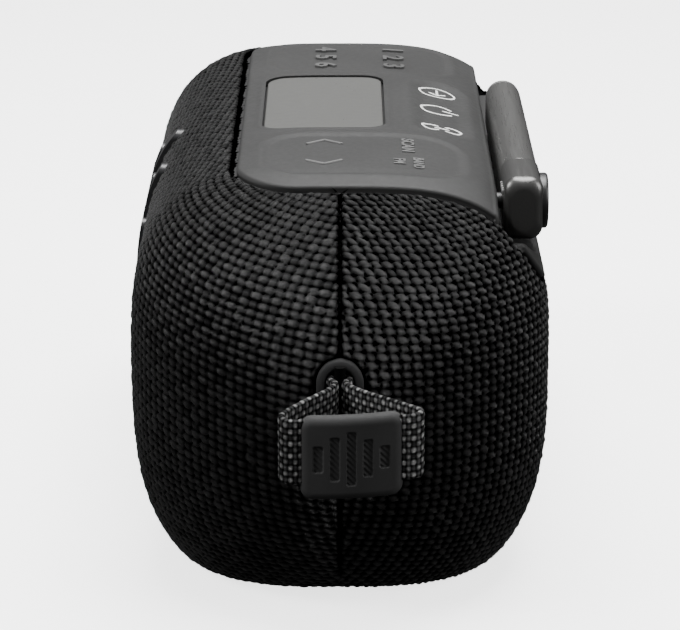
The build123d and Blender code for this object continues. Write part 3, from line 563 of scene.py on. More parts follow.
def panel_relief(x, y):
    """Soft moulded features of the panel: outlines round both key groups and a dish for the icons."""
    height = np.zeros_like(x)
    for centre in (-41.0, 41.0):
        group = rounded_box(x - centre, y - 4.5, 14.6, 19.5, 9.0)
        height -= 0.42 * smooth_step(-group / 1.8)
        height += 0.1 * np.exp(-((group - 0.5) / 0.8) ** 2)
    dish = rounded_box(x, y - 20.4, 22.5, 6.3, 6.2)
    height -= 0.75 * smooth_step(-dish / 3.6)
    height += 0.1 * np.exp(-((dish - 0.4) / 0.8) ** 2)
    rim = rounded_box(x - WINDOW_CENTRE[0], y - WINDOW_CENTRE[1], *WINDOW_HALF, WINDOW_CORNER)
    height += 0.12 * np.exp(-((rim - 0.9) / 0.6) ** 2)
    return height


def top_z(x, y):
    """Height of the panel's surface, with its moulded features."""
    return roof(x, y) + panel_relief(np.asarray(x, float), np.asarray(y, float))


def pocket_floor(x):
    """Height of the channel's floor, which dips round the aerial's pivot."""
    across = np.clip(POCKET_RADIUS ** 2 - (x - PIVOT[0]) ** 2, 0, None)
    return np.minimum(CHANNEL_FLOOR, PIVOT[1] - np.sqrt(across))


def key_distance(x, y):
    """Distance from the nearest key's outline, and which key that is."""
    best = np.full(x.shape, 99.0)
    which = np.full(x.shape, -1)
    for index, (cx, cy, length, width) in enumerate(KEYS.values()):
        distance = rounded_box(x - cx, y - cy, length / 2 + 0.06, width / 2 + 0.06, KEY_CORNER)
        nearer = distance < best
        best = np.where(nearer, distance, best)
        which = np.where(nearer, index, which)
    return best, which


def window_distance(x, y):
    """Distance outside the opening for the window, which is a little larger than the pane."""
    return rounded_box(
        x - WINDOW_CENTRE[0], y - WINDOW_CENTRE[1],
        WINDOW_HALF[0] + WINDOW_GAP, WINDOW_HALF[1] + WINDOW_GAP, WINDOW_CORNER + WINDOW_GAP,
    )


def snap_to(x, y, distance_of, reach):
    """Move the points nearest to an outline onto it."""
    tiny = 0.01
    for _ in range(2):
        distance = distance_of(x, y)
        slope_x = (distance_of(x + tiny, y) - distance_of(x - tiny, y)) / (2 * tiny)
        slope_y = (distance_of(x, y + tiny) - distance_of(x, y - tiny)) / (2 * tiny)
        near = np.abs(distance) < reach
        x = np.where(near, x - distance * slope_x, x)
        y = np.where(near, y - distance * slope_y, y)
    return x, y


def panel_grid():
    """The whole skin as a grid: lip, roof, channel wall and floor, rear face, lip."""
    turn = np.linspace(0, math.pi / 2, 30)
    right = PANEL_STRAIGHT + PANEL_CORNER * np.sin(turn)
    middle = np.linspace(-PANEL_STRAIGHT, PANEL_STRAIGHT, round(2 * PANEL_STRAIGHT / PANEL_STEP) + 1)
    x_line = np.concatenate([-right[::-1][:-1], middle, right[1:]])
    past_straight = np.maximum(np.abs(x_line) - PANEL_STRAIGHT, 0)
    corner = PANEL_CORNER - np.sqrt(np.maximum(PANEL_CORNER ** 2 - past_straight ** 2, 0))
    front_edge = PANEL_FRONT + corner
    floor_z = pocket_floor(x_line)
    low_edge = np.minimum(PANEL_LOW + corner, floor_z - 1.2)
    rows = []
    fillet = 0.9
    wall_top = CHANNEL_WALL - fillet
    for share in np.linspace(0, 1, ROOF_ROWS):
        y = front_edge + (wall_top - front_edge) * share
        rows.append((x_line, y, roof(x_line, y)))
    roof_rows = len(rows)
    edge_z = roof(x_line, np.full_like(x_line, wall_top))
    for share in np.linspace(0, 1, 7)[1:]:
        angle = share * math.pi / 2
        y = wall_top + fillet * math.sin(angle)
        z = edge_z - fillet * (1 - math.cos(angle)) - 0.25 * share
        rows.append((x_line, np.full_like(x_line, y), z))
    wall_start = rows[-1][2]
    for share in np.linspace(0, 1, 9)[1:]:
        z = wall_start + (floor_z + 1.0 - wall_start) * share
        rows.append((x_line, np.full_like(x_line, CHANNEL_WALL), z))
    for share in np.linspace(0, 1, 6)[1:]:
        angle = share * math.pi / 2
        y = CHANNEL_WALL + 1.0 * (1 - math.cos(angle))
        rows.append((x_line, np.full_like(x_line, y), floor_z + 1.0 - math.sin(angle)))
    outer = rear_y(x_line, floor_z)
    for share in np.linspace(0, 1, 9)[1:]:
        y = CHANNEL_WALL + 1.0 + (outer - 0.8 - CHANNEL_WALL - 1.0) * share
        rows.append((x_line, y, floor_z))
    for share in np.linspace(0, 1, 6)[1:]:
        angle = share * math.pi / 2
        z = floor_z - 0.8 * (1 - math.cos(angle))
        y = outer - 0.8 + 0.8 * math.sin(angle) + (rear_y(x_line, floor_z - 0.8) - outer) * share
        rows.append((x_line, y, z))
    for share in np.linspace(0, 1, 22)[1:]:
        z = floor_z - 0.8 + (low_edge - floor_z + 0.8) * share
        rows.append((x_line, rear_y(x_line, z), z))
    return np.array(rows).transpose(0, 2, 1), roof_rows


def round_lip(distance_in):
    """How far the skin drops as it comes to its own edge."""
    radius = 0.7
    near = np.clip(distance_in, 0, radius)
    return radius - np.sqrt(radius ** 2 - (radius - near) ** 2)


def skirt(points, faces, normals, depth):
    """Walls that hang from every open edge of a shell."""
    edges = {}
    for face in faces:
        ring = [v for index, v in enumerate(face) if v != face[index - 1]]
        for index, b in enumerate(ring):
            a = ring[index - 1]
            key = (a, b) if a < b else (b, a)
            edges[key] = None if key in edges else (a, b, ring)
    border = [edge[:2] for edge in edges.values() if edge]
    under = np.zeros_like(points)
    for a, b, face in (edge for edge in edges.values() if edge):
        edge_way = (points[b] - points[a]) / max(np.linalg.norm(points[b] - points[a]), 1e-9)
        way = points[face].mean(axis=0) - (points[a] + points[b]) / 2
        way = way - edge_way * (way @ edge_way)
        way = way / max(np.linalg.norm(way), 1e-9)
        under[[a, b]] += way
    ring = sorted({v for edge in border for v in edge})
    top = {v: len(points) + index for index, v in enumerate(ring)}
    bottom = {v: len(points) + len(ring) + index for index, v in enumerate(ring)}
    under = under[ring] / np.maximum(np.linalg.norm(under[ring], axis=1, keepdims=True), 1e-9)
    hang = np.where(normals[ring, 2:] > 0.6, np.array([[0.0, 0.0, 1.0]]), normals[ring])
    lowered = points[ring] - hang * depth + under * SKIRT_TAPER
    walls = [(top[b], top[a], bottom[a], bottom[b]) for a, b in border]
    return np.vstack([points, points[ring], lowered]), walls


def build_panel():
    """The rubber skin with the key caps that press through it."""
    grid, roof_rows = panel_grid()
    rows, columns, _ = grid.shape
    normals = grid_normals(grid)
    if normals[20, columns // 2, 2] < 0:
        normals = -normals
    on_roof = np.zeros((rows, columns), bool)
    on_roof[1:roof_rows - 1] = True
    x, y = grid[..., 0].copy(), grid[..., 1].copy()
    for distance_of in (lambda a, b: key_distance(a, b)[0], window_distance):
        moved_x, moved_y = snap_to(x, y, distance_of, PANEL_STEP * 0.52)
        x = np.where(on_roof, moved_x, x)
        y = np.where(on_roof, moved_y, y)
    z = np.where(on_roof, roof(x, y), grid[..., 2])
    fade = smooth_step((roof_rows - 3 - np.arange(rows)) / 6)[:, None]
    points = np.stack([x, y, z], axis=-1) + normals * (panel_relief(x, y) * fade)[..., None]
    inside = np.maximum(-panel_distance(x, y, z), 0)
    points = points - normals * np.where(inside < 0.7, round_lip(inside), 0)[..., None]
    flat_x, flat_y = x.ravel(), y.ravel()
    key_gap, which = key_distance(flat_x, flat_y)
    key_gap = np.where(on_roof.ravel(), key_gap, 9)
    key_gap[np.abs(key_gap) < 0.02] = 0
    window_gap = np.where(on_roof.ravel(), window_distance(flat_x, flat_y), 9)
    window_gap[np.abs(window_gap) < 0.02] = 0
    flat = points.reshape(-1, 3)
    flat_normals = normals.reshape(-1, 3)
    parts = {"skin": []}
    parts.update({index: [] for index in range(len(KEYS))})
    for quad in grid_faces(rows, columns):
        gaps = np.minimum(key_gap[quad], window_gap[quad])
        pieces = [quad]
        if gaps.min() < 0 < gaps.max():
            if gaps[1] * gaps[3] < 0 or (gaps[0] == 0 and gaps[2] == 0):
                pieces = [quad[[0, 1, 2]], quad[[0, 2, 3]]]
            else:
                pieces = [quad[[0, 1, 3]], quad[[1, 2, 3]]]
        for piece in pieces:
            corners = flat[piece]
            if np.linalg.norm(np.cross(corners[1] - corners[0], corners[2] - corners[0])) < 1e-4:
                if np.linalg.norm(np.cross(corners[-1] - corners[0], corners[-2] - corners[0])) < 1e-4:
                    continue
            if window_gap[piece].mean() < 0:
                continue
            if key_gap[piece].mean() < 0:
                parts[which[piece[0]]].append(tuple(piece.tolist()))
            else:
                parts["skin"].append(tuple(piece.tolist()))
    names = list(KEYS)
    for part, faces in parts.items():
        used = sorted({v for face in faces for v in face})
        renumber = {v: index for index, v in enumerate(used)}
        faces = [tuple(renumber[v] for v in face) for face in faces]
        shell, shell_normals = flat[used], flat_normals[used]
        shell, walls = skirt(shell, faces, shell_normals, SKIN if part == "skin" else CAP_DEPTH)
        if part == "skin":
            make_piece("panel_skin", shell, faces + walls, "speaker_body", SKIN_RUBBER,
                       ["control_panel_skin"])
        else:
            make_piece(f"{names[part]}_cap", shell, faces + walls, names[part], SKIN_RUBBER,
                       [names[part]])


def build_window():
    """The display's pane: slightly sunk, with softened edges."""
    turns = np.linspace(0, 2 * math.pi, 241)[:-1]
    half_x, half_y, corner = WINDOW_HALF[0] - 0.06, WINDOW_HALF[1] - 0.06, WINDOW_CORNER
    ring = outline_points(half_x, half_y, corner, turns)
    shares = np.concatenate([np.linspace(0.02, 0.96, 24), 1 - np.array([0.03, 0.02, 0.012, 0.006, 0.0])])
    points = []
    for share in shares:
        px = WINDOW_CENTRE[0] + ring[:, 0] * share
        py = WINDOW_CENTRE[1] + ring[:, 1] * share
        inward = -rounded_box(px - WINDOW_CENTRE[0], py - WINDOW_CENTRE[1], half_x, half_y, corner)
        drop = 0.22 + 0.25 * (1 - np.sqrt(1 - np.clip(1 - inward / 0.4, 0, 1) ** 2))
        points.append(np.stack([px, py, roof(px, py) - drop], axis=-1))
    points.append(points[-1] - np.array([0, 0, 1.0]))
    points = np.array(points)
    faces = wrapped_faces(points.shape[0], points.shape[1]).tolist()
    faces.append(list(range(points.shape[1])))
    return make_piece("display_pane", points.reshape(-1, 3), faces, "speaker_body", PANE,
                      ["display_window"])


def outline_points(half_x, half_y, corner, turns):
    """Points round a rounded rectangle, one for each direction."""
    low = np.zeros_like(turns)
    high = np.full_like(turns, half_x + half_y)
    cos, sin = np.cos(turns), np.sin(turns)
    for _ in range(40):
        middle = (low + high) / 2
        outside = rounded_box(middle * cos, middle * sin, half_x, half_y, corner) > 0
        high = np.where(outside, middle, high)
        low = np.where(outside, low, middle)
    return np.stack([low * cos, low * sin], axis=-1)


# ---------------------------------------------------------------- marks on the keys

def text_mark(text, centre, height, proud, stretch=1.0):
    """Raised characters on the panel, read along X with their tops towards the back."""
    curve = bpy.data.curves.new("text_" + text, "FONT")
    curve.body = text
    curve.size = height / 0.7
    curve.align_x = "CENTER"
    curve.offset = 0.016 * height
    curve.extrude = 0.5
    curve.bevel_depth = 0.06
    curve.bevel_resolution = 2
    curve.resolution_u = 8
    holder = bpy.data.objects.new("text_holder", curve)
    bpy.context.scene.collection.objects.link(holder)
    bpy.context.view_layer.update()
    mesh = bpy.data.meshes.new_from_object(holder.evaluated_get(bpy.context.evaluated_depsgraph_get()))
    bpy.data.objects.remove(holder)
    bpy.data.curves.remove(curve)
    points = np.array([v.co for v in mesh.vertices])
    faces = [tuple(p.vertices) for p in mesh.polygons]
    bpy.data.meshes.remove(mesh)
    x = centre[0] + (points[:, 0] - (points[:, 0].min() + points[:, 0].max()) / 2) * stretch
    y = centre[1] + points[:, 1] - (points[:, 1].min() + points[:, 1].max()) / 2
    top = points[:, 2].max()
    z = top_z(x, y) + proud + (points[:, 2] - top)
    return np.stack([x, y, z], axis=-1), faces


def stroke_mark(path, width, proud, closed=False):
    """A rounded raised line along a path on the panel."""
    path = np.array(path, float)
    ends = np.vstack([path, path[:1]]) if closed else path
    lengths = np.concatenate([[0], np.cumsum(np.linalg.norm(np.diff(ends, axis=0), axis=1))])
    count = max(3, int(lengths[-1] / 0.16) + 1)
    even = np.linspace(0, lengths[-1], count)
    line = np.stack([np.interp(even, lengths, ends[:, axis]) for axis in (0, 1)], axis=-1)
    along = np.gradient(line, axis=0)
    if closed:
        along[0] = along[-1] = line[1] - line[-2]
    along /= np.maximum(np.linalg.norm(along, axis=1, keepdims=True), 1e-9)
    across = np.stack([-along[:, 1], along[:, 0]], axis=-1)
    taper = np.ones(count)
    if not closed:
        rounding = np.clip(np.minimum(even, lengths[-1] - even) / (width / 2), 0, 1)
        taper = np.maximum(np.sqrt(1 - (1 - rounding) ** 2), 0.05)
    rows = []
    for offset, drop in ((-1, 1.0), (-1, 0.35), (-0.72, 0.0), (0, 0.0), (0.72, 0.0), (1, 0.35), (1, 1.0)):
        spot = line + across * (offset * width / 2 * taper)[:, None]
        z = top_z(spot[:, 0], spot[:, 1]) + proud - drop * (proud + 0.1)
        rows.append(np.column_stack([spot, z]))
    points = np.array(rows).reshape(-1, 3)
    return points, grid_faces(len(rows), count).tolist()


def joined(marks):
    """Several marks as one set of points and faces."""
    points, faces, offset = [], [], 0
    for mark_points, mark_faces in marks:
        points.append(mark_points)
        faces += [tuple(v + offset for v in face) for face in mark_faces]
        offset += len(mark_points)
    return np.vstack(points), faces


def ring_path(centre, radius, first, last, count=40):
    """Points along an arc, from one angle to another in degrees."""
    angles = np.radians(np.linspace(first, last, count))
    return np.stack([centre[0] + radius * np.cos(angles), centre[1] + radius * np.sin(angles)], axis=-1)


def build_marks():
    """Raised characters in the panel's own rubber, and printed white icons."""
    for digit in range(1, 7):
        cx, cy, _, _ = KEYS[f"key_preset_{digit}"]
        points, faces = text_mark(str(digit), (cx, cy - 0.6), 4.3, 0.5, 1.2)
        make_piece(f"digit_{digit}", points, faces, f"key_preset_{digit}", DIGIT, smooth=False)
    points, faces = text_mark("SCAN", (34.2, 13.0), 2.3, 0.26, 1.15)
    make_piece("word_scan", points, faces, "key_scan", LEGEND, smooth=False)
    words = [text_mark("BAND", (47.0, 14.8), 1.9, 0.24), text_mark("FM", (46.4, 11.2), 2.1, 0.24)]
    points, faces = joined(words)
    make_piece("word_band", points, faces, "key_band", LEGEND, smooth=False)
    for name, centre, direction in (("key_tune_down", 32.5, -1), ("key_tune_up", 47.5, 1)):
        middle = -3.0
        path = [(centre - direction * 1.5, middle + 3.5), (centre + direction * 1.5, middle),
                (centre - direction * 1.5, middle - 3.5)]
        points, faces = stroke_mark(path, 0.62, 0.3)
        make_piece(f"arrow_{name}", points, faces, name, LEGEND)
    build_icons()


def build_icons():
    """White icons: a power sign, an arrow in a ring and two links of a chain."""
    power = [
        stroke_mark(ring_path((0, 19.7), 3.3, 122, 418), 0.55, 0.05),
        stroke_mark([(0, 20.6), (0, 24.0)], 0.55, 0.05),
    ]
    source = [
        stroke_mark(ring_path((-15, 20.0), 3.6, 0, 360), 0.5, 0.05, closed=True),
        stroke_mark([(-17.2, 20.0), (-12.9, 20.0)], 0.5, 0.05),
        stroke_mark([(-14.5, 21.7), (-12.8, 20.0), (-14.5, 18.3)], 0.5, 0.05),
    ]
    pair = [
        stroke_mark(ring_path((15, 18.1), 1.8, 130, 410), 0.55, 0.05),
        stroke_mark(ring_path((15, 22.1), 1.8, -50, 230), 0.55, 0.05),
        stroke_mark([(15, 18.6), (15, 21.6)], 0.55, 0.05),
    ]
    for name, marks in (("key_power", power), ("key_source", source), ("key_pair", pair)):
        points, faces = joined(marks)
        make_piece(f"icon_{name}", points, faces, name, PRINT)


# ---------------------------------------------------------------- aerial

def loft_rings(name, rings, body, material, nodes):
    """A closed skin over a row of equal rings."""
    rings = np.array(rings)
    faces = wrapped_faces(rings.shape[0], rings.shape[1]).tolist()
    last = (rings.shape[0] - 1) * rings.shape[1]
    faces.append(list(range(rings.shape[1]))[::-1])
    faces.append([last + index for index in range(rings.shape[1])])
    return make_piece(name, rings.reshape(-1, 3), faces, body, material, nodes)


def aerial_ring(x, half_width, half_height, corner, turns):
    """The aerial's section at x, a rounded rectangle."""
    corner = min(corner, half_width - 0.02, half_height - 0.02)
    outline = outline_points(half_width, half_height, corner, turns)
    return np.column_stack([np.full(len(turns), x), AERIAL_Y + outline[:, 0], PIVOT[1] + outline[:, 1]])


def quarter(distance, radius):
    """How much a rounded edge takes off at a distance from the end."""
    near = np.clip(distance / radius, 0, 1)
    return radius * (1 - math.sqrt(1 - (1 - near) ** 2))


def build_aerial():
    """Knuckle, sleeve and tip, each with rounded ends, then what is fitted to them."""
    turns = np.linspace(0, 2 * math.pi, 97)[:-1]
    half_width, half_height = AERIAL_HALF
    seam_side = [43.06, 43.12, 43.25, 43.45]
    rounding = KNUCKLE_END - 2.2 * (1 - np.sin(np.linspace(0, math.pi / 2, 20)))
    rings = []
    for x in np.concatenate([seam_side, np.linspace(44, 55.4, 13), rounding]):
        near = quarter(KNUCKLE_END - x, 1.6)
        tall = quarter(KNUCKLE_END - x, 2.2)
        seam = quarter(x - SLEEVE_SEAM - 0.05, 0.07)
        rings.append(aerial_ring(x, half_width - near - seam, half_height - tall - seam, 2.4, turns))
    loft_rings("aerial_knuckle", rings, "aerial_arm", KNUCKLE, ["antenna_arm"])
    stations = np.concatenate([[-20, -19.95, -19.85, -19.7], np.linspace(-19, 42, 62), [42.7, 42.85, 42.95]])
    rings = []
    for x in stations:
        seam = quarter(x - SLEEVE_END + 0.02, 0.3) + quarter(SLEEVE_SEAM - 0.03 - x, 0.07)
        rings.append(aerial_ring(x, half_width - seam, half_height - seam, 3.5, turns))
    loft_rings("aerial_sleeve", rings, "aerial_arm", SLEEVE, ["antenna_sleeve"])
    rings = []
    for x in np.concatenate([[-20.1, -20.14, -20.25, -20.5], np.linspace(-21, -23.1, 12)]):
        taken = quarter(-20.08 - x, 0.25) + min(quarter(x + 23.1, 1.5), 1.4)
        rings.append(aerial_ring(x, 3.45 - taken, 5.85 - taken, 3.3, turns))
    loft_rings("aerial_tip", rings, "mast_inner", TIP, ["mast_tip"])
    build_pivot_cover()
    build_detents()


def build_detents():
    """Five small ribs on the inner side of the knuckle."""
    turns = np.linspace(0, 2 * math.pi, 25)[:-1]
    ribs = []
    for index in range(5):
        x = 49.3 + 1.4 * index
        outline = outline_points(0.3, 0.55, 0.25, turns)
        rings = []
        for y, share in ((30.7, 1.0), (30.05, 1.0), (29.95, 0.8), (29.92, 0.05)):
            rings.append(np.column_stack([
                x + outline[:, 0] * share, np.full(len(turns), y), PIVOT[1] + 2.65 + outline[:, 1] * share,
            ]))
        ribs.append((np.vstack(rings), wrapped_faces(len(rings), len(turns)).tolist()))
    points, faces = joined(ribs)
    make_piece("detent_ribs", points, faces, "aerial_arm", TIP)


def build_pivot_cover():
    """A dark disc on the pivot with a coin slot across it."""
    turns = np.linspace(0, 2 * math.pi, 121)[:-1]
    profile = [(0.0, 38.05), (1.2, 38.05), (2.4, 38.06), (3.2, 38.08), (3.9, 38.12), (4.1, 38.4),
               (4.25, 38.62), (4.5, 38.7), (4.75, 38.68), (5.0, 38.55), (5.14, 38.35), (5.2, 38.1),
               (5.2, 37.2)]
    rings = []
    for radius, y in profile:
        x = PIVOT[0] + radius * np.cos(turns)
        z = PIVOT[1] + radius * np.sin(turns)
        across = np.abs(radius * np.sin(turns))
        slot = 0.45 * (1 - smooth_step((across - 0.45) / 0.25)) * (radius < 4.0)
        rings.append(np.column_stack([x, y - slot, z]))
    faces = wrapped_faces(len(rings), len(turns))
    make_piece("pivot_cover", np.vstack(rings), faces, "aerial_arm", PIVOT_DARK,
               ["antenna_pivot_cover"])


# ---------------------------------------------------------------- strap

def curve_through(controls, count):
    """A smooth line through points, evenly spaced."""
    controls = np.array(controls, float)
    padded = np.vstack([2 * controls[0] - controls[1], controls, 2 * controls[-1] - controls[-2]])
    fine = []
    for index in range(1, len(padded) - 2):
        p0, p1, p2, p3 = padded[index - 1:index + 3]
        for t in np.linspace(0, 1, 40, endpoint=False):
            fine.append(0.5 * (2 * p1 + (p2 - p0) * t + (2 * p0 - 5 * p1 + 4 * p2 - p3) * t ** 2
                               + (3 * p1 - p0 - 3 * p2 + p3) * t ** 3))
    fine.append(controls[-1])
    fine = np.array(fine)
    arc = np.concatenate([[0], np.cumsum(np.linalg.norm(np.diff(fine, axis=0), axis=1))])
    even = np.linspace(0, arc[-1], count)
    return np.stack([np.interp(even, arc, fine[:, axis]) for axis in range(fine.shape[1])], axis=-1), arc[-1]


def strap_droop(x, y):
    """How far the strap sags between the post and the tag, which hangs a little askew."""
    return (TAG_DROOP - RIBBON_LIFT - TAG_TILT * (y - TAG_Y)) * smooth_step((x - POST_X - 2) / 15)


def build_strap():
    """A woven ribbon round the post, with both ends in the tag."""
    side = [(87.0, 1.75), (89.4, 0.95), (92.4, 3.0), (96.0, 8.0), (98.8, 11.7), (100.3, 12.0), (101.4, 10.6),
            (101.4, 7.6)]
    controls = [(x, y + TAG_Y * min(1, max(0, (x - 89) / 11))) for x, y in side[::-1]]
    controls += [(85.7, 1.2), (85.25, 0.0), (85.7, -1.2)]
    controls += [(x, -y + TAG_Y * min(1, max(0, (x - 89) / 11))) for x, y in side]
    line, length = curve_through(controls, 460)
    along = np.gradient(line, axis=0)
    along /= np.linalg.norm(along, axis=1, keepdims=True)
    across = np.column_stack([along[:, 1], -along[:, 0]])
    width_rows = 85
    loops = []
    tones_with_painted_shade, places = [], []
    distance = np.linspace(0, length, len(line))
    for face in (1, -1):
        for share in np.linspace(-1, 1, width_rows):
            up = share * face * WEBBING_HALF
            edge = math.sqrt(max(0.0, 1 - max(0.0, (abs(up) - WEBBING_HALF + 0.5) / 0.5) ** 2))
            column = distance / 0.78
            row = np.full_like(distance, up / 1.12 + 0.5)
            weave = weave_height(column, row, 0.0, 0.92, 0.92)
            thick = face * (0.58 * edge + (weave + 0.1) * 0.3 * edge)
            spot = line + across * thick[:, None]
            z = ANCHOR_Z + up - strap_droop(line[:, 0], line[:, 1])
            loops.append(np.column_stack([spot, z]))
            # Painted shade: the ribbon's colour value darkens towards the hollows of the weave, times a tone
            # that differs between the over and the under yarns, with a random speckle.
            over = np.cos(math.pi * np.round(column)) * np.cos(math.pi * np.round(row)) > 0
            speckle = np.sin(np.round(column) * 12.9898 + np.round(row) * 78.233) * 0.5 + 0.5
            light = np.where(over, 0.8 + 0.2 * speckle, 0.5 + 0.25 * speckle)
            tones_with_painted_shade.append(np.clip(1 + (weave - 0.2) / 0.9, 0, 1) * light)
            side_of_ribbon = np.full_like(distance, face)
            places.append(np.column_stack([distance, np.full_like(distance, up), side_of_ribbon]))
    points = np.array(loops).transpose(1, 0, 2)
    facts = {
        "weave_height": np.array(tones_with_painted_shade).T.ravel(),
        "weave_place": np.array(places).transpose(1, 0, 2).reshape(-1, 3),
    }
    faces = wrapped_faces(points.shape[0], points.shape[1])
    return make_piece("strap_ribbon", points.reshape(-1, 3), faces, "strap", WEBBING,
                      ["strap_webbing"], facts)


def hatched_bars(y, z):
    """Depth of the tag's recessed level bars, filled with slanting lines."""
    depth = np.zeros_like(y)
    for index, height in enumerate((5.0, 8.2, 10.0, 7.0, 4.2)):
        centre = (index - 2) * 2.9
        inside = rounded_box(y - centre, z, 0.95, height / 2, 0.5)
        lines = 0.5 + 0.5 * np.cos((y + z) * math.pi / 0.55)
        depth += (0.3 + 0.16 * lines) * smooth_step(-inside / 0.2)
    return depth


def build_tag():
    """A bowed rubber tag with rounded edges and a pattern of recessed bars."""
    turns = np.linspace(0, 2 * math.pi, 421)[:-1]
    half_y, half_z, corner = 9.0, 7.6, 2.2
    outline = outline_points(half_y, half_z, corner, turns)
    shares = np.concatenate([np.linspace(0.01, 0.84, 66), 1 - 0.16 * (1 - np.linspace(0.02, 1, 18)) ** 1.7])
    layers = []
    for face in (1, -1):
        for share in (shares if face > 0 else shares[::-1][1:]):
            y = outline[:, 0] * share
            z = outline[:, 1] * share
            inward = -rounded_box(y, z, half_y, half_z, corner)
            near = np.clip(1 - inward / 1.5, 0, 1)
            half_thick = 0.35 + 1.25 * np.sqrt(1 - near ** 2)
            bow = 0.55 - 1.1 * (y / half_y) ** 2
            recess = hatched_bars(y, z) if face > 0 else 0
            x = TAG_X - 1.6 + bow + face * half_thick - recess
            layers.append(np.column_stack([x, y + TAG_Y, z + ANCHOR_Z - TAG_DROOP + TAG_TILT * y]))
    points = np.array(layers)
    faces = wrapped_faces(points.shape[0], points.shape[1]).tolist()
    last = (points.shape[0] - 1) * points.shape[1]
    faces.append(list(range(points.shape[1]))[::-1])
    faces.append([last + index for index in range(points.shape[1])])
    return make_piece("strap_tag_rubber", points.reshape(-1, 3), faces, "strap", TAG_RUBBER,
                      ["strap_tag"])


def build_anchor():
    """The oblong cup at the end, with a rolled rim that follows the body."""
    turns = np.linspace(0, 2 * math.pi, 161)[:-1]
    profile = [(0.0, -1.4), (0.0, 0.12), (0.05, 0.34), (0.18, 0.5), (0.36, 0.58), (0.8, 0.6), (1.25, 0.58),
               (1.45, 0.5), (1.58, 0.3), (1.62, -0.4), (1.63, -1.4)]
    rings = []
    for inset, proud in profile:
        ring = outline_points(4.25 - inset, 8.8 - inset, 4.2 - inset, turns)
        x = end_x(ring[:, 0], ANCHOR_Z + ring[:, 1]) + proud
        rings.append(np.column_stack([x, ring[:, 0], ANCHOR_Z + ring[:, 1]]))
    ring = outline_points(2.6, 7.15, 2.55, turns)
    for x in (85.0, 83.4):
        rings.append(np.column_stack([np.full(len(turns), x), ring[:, 0], ANCHOR_Z + ring[:, 1]]))
    for share in (0.9, 0.6, 0.02):
        spot = ring * share
        rings.append(np.column_stack([np.full(len(turns), 83.1), spot[:, 0], ANCHOR_Z + spot[:, 1]]))
    faces = wrapped_faces(len(rings), len(turns))
    return make_piece("anchor_cup", np.vstack(rings), faces, "speaker_body", DARK_RUBBER,
                      ["strap_anchor"])


# ---------------------------------------------------------------- CAD pieces that stay in view

def finish_cad_nodes():
    """Give every remaining CAD node its material, softened edges and smooth curves."""
    slots = {}
    for entry in frame["record"]["subparts"]:
        slots[entry["node"]] = entry["material_slot"]
    for name, node in frame["nodes"].items():
        material = SLOT_MATERIALS.get(slots.get(name, "housing"), HOUSING)
        if material in (FABRIC, WEBBING):
            material = DARK_RUBBER
        # The pivot pin and the clip take the near-black pivot plastic in place of their own finish; for the
        # pin, which shows in the gap between the channel wall and the arm, this is painted shade.
        if name in ("antenna_pivot_pin", "antenna_clip"):
            material = PIVOT_DARK
        # Painted shade: the steel post is coloured near black for the shade in the anchor's mouth.
        if name == "strap_post":
            material = POST_PAINTED_SHADE
        node.data.materials.clear()
        node.data.materials.append(material)
        if not node.hide_render:
            soften = node.modifiers.new("soften", "BEVEL")
            soften.width = 0.25 * MM
            soften.segments = 2
            soften.limit_method = "ANGLE"
            soften.angle_limit = math.radians(40)
            node.data.polygons.foreach_set("use_smooth", [True] * len(node.data.polygons))
            flow = node.modifiers.new("even_shading", "WEIGHTED_NORMAL")
            flow.keep_sharp = True


# ---------------------------------------------------------------- set, camera and light

AIM = Vector((0.0, 0.0, 0.04))
CAMERA_PLACE = (0.6091, 0.0, 0.2247)
CAMERA_TILT = 17.5          # degrees below level
CAMERA_LENS = 164.1


def build_set():
    """A pale floor, a graded sky, three soft lamps and the camera."""
    build_floor()
    build_sky()
    build_lamps()
    build_camera()


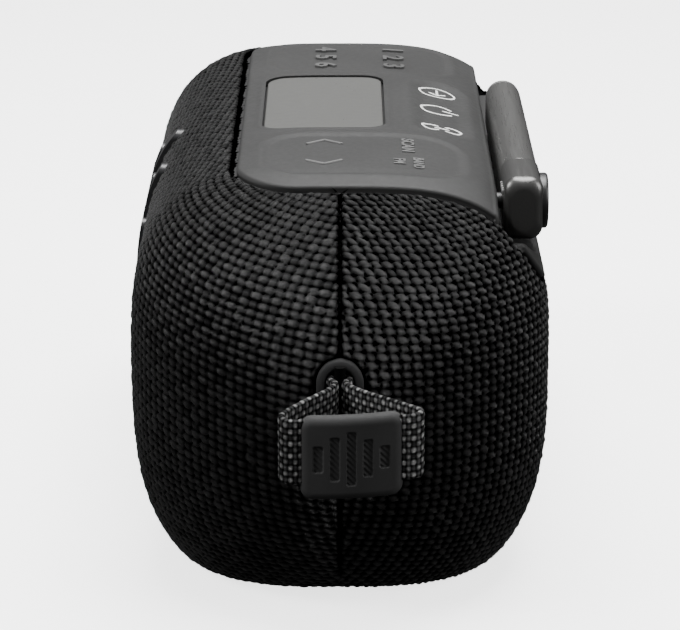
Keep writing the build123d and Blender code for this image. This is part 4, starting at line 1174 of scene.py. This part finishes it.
def build_floor():
    """A plain pale floor that doesn't light the underside of the object."""
    floor = bpy.data.meshes.new("floor")
    size = 4.0
    corners = [(-size, -size, 0), (size, -size, 0), (size, size, 0), (-size, size, 0)]
    floor.from_pydata(corners, [], [(0, 1, 2, 3)])
    floor_piece = bpy.data.objects.new("floor", floor)
    bpy.context.scene.collection.objects.link(floor_piece)
    pale = plain_material("pale_floor", (0.9, 0.9, 0.9), 0.7, mottle=0.01, depth=0.000001)
    shader = pale.node_tree.nodes["Principled BSDF"]
    shader.inputs["Emission Color"].default_value = (1, 1, 1, 1)
    shader.inputs["Emission Strength"].default_value = 2.4
    floor.materials.append(pale)
    floor_piece.visible_diffuse = False
    floor_piece.visible_glossy = False


def build_sky():
    """Soft light that grows from the horizon upwards."""
    world = bpy.data.worlds.new("studio")
    bpy.context.scene.world = world
    world.use_nodes = True
    sky = world.node_tree
    direction = sky.nodes.new("ShaderNodeTexCoord").outputs["Generated"]
    split = sky.nodes.new("ShaderNodeSeparateXYZ")
    sky.links.new(direction, split.inputs["Vector"])
    dome = add_ramp(sky, split.outputs["Z"], [(0.0, 0.1), (0.05, 0.24), (0.8, 0.55)])
    sky.links.new(dome, sky.nodes["Background"].inputs["Color"])
    sky.nodes["Background"].inputs["Strength"].default_value = 1.0


def build_lamps():
    """Square lamps, given by place, power in watts and size in metres, all aimed at the object."""
    lamps = (
        ("overhead", (-0.12, 0.05, 0.7), 13.0, 0.5),
        ("left_key", (0.2, -0.6, 0.5), 5.0, 0.25),
        ("right_fill", (0.2, 0.6, 0.35), 3.0, 0.3),
    )
    for name, place, power, size in lamps:
        lamp = bpy.data.lights.new(name, "AREA")
        lamp.energy = power
        lamp.size = size
        holder = bpy.data.objects.new(name, lamp)
        bpy.context.scene.collection.objects.link(holder)
        holder.location = place
        holder.rotation_euler = (AIM - Vector(place)).to_track_quat("-Z", "Y").to_euler()


def build_camera():
    """A long lens that looks along the body from its strap end."""
    camera = bpy.data.cameras.new("camera")
    camera.lens = CAMERA_LENS
    camera.sensor_width = 36.0
    camera.clip_end = 20.0
    view = bpy.data.objects.new("camera", camera)
    bpy.context.scene.collection.objects.link(view)
    view.location = CAMERA_PLACE
    view.rotation_euler = (math.radians(90 - CAMERA_TILT), 0.0, math.radians(90))
    bpy.context.scene.camera = view


woven_cover("front_cover", -1, "front_fabric")
woven_cover("rear_cover", 1, "rear_fabric")
build_panel()
build_window()
build_marks()
build_aerial()
build_strap()
build_tag()
build_anchor()
finish_cad_nodes()
build_set()
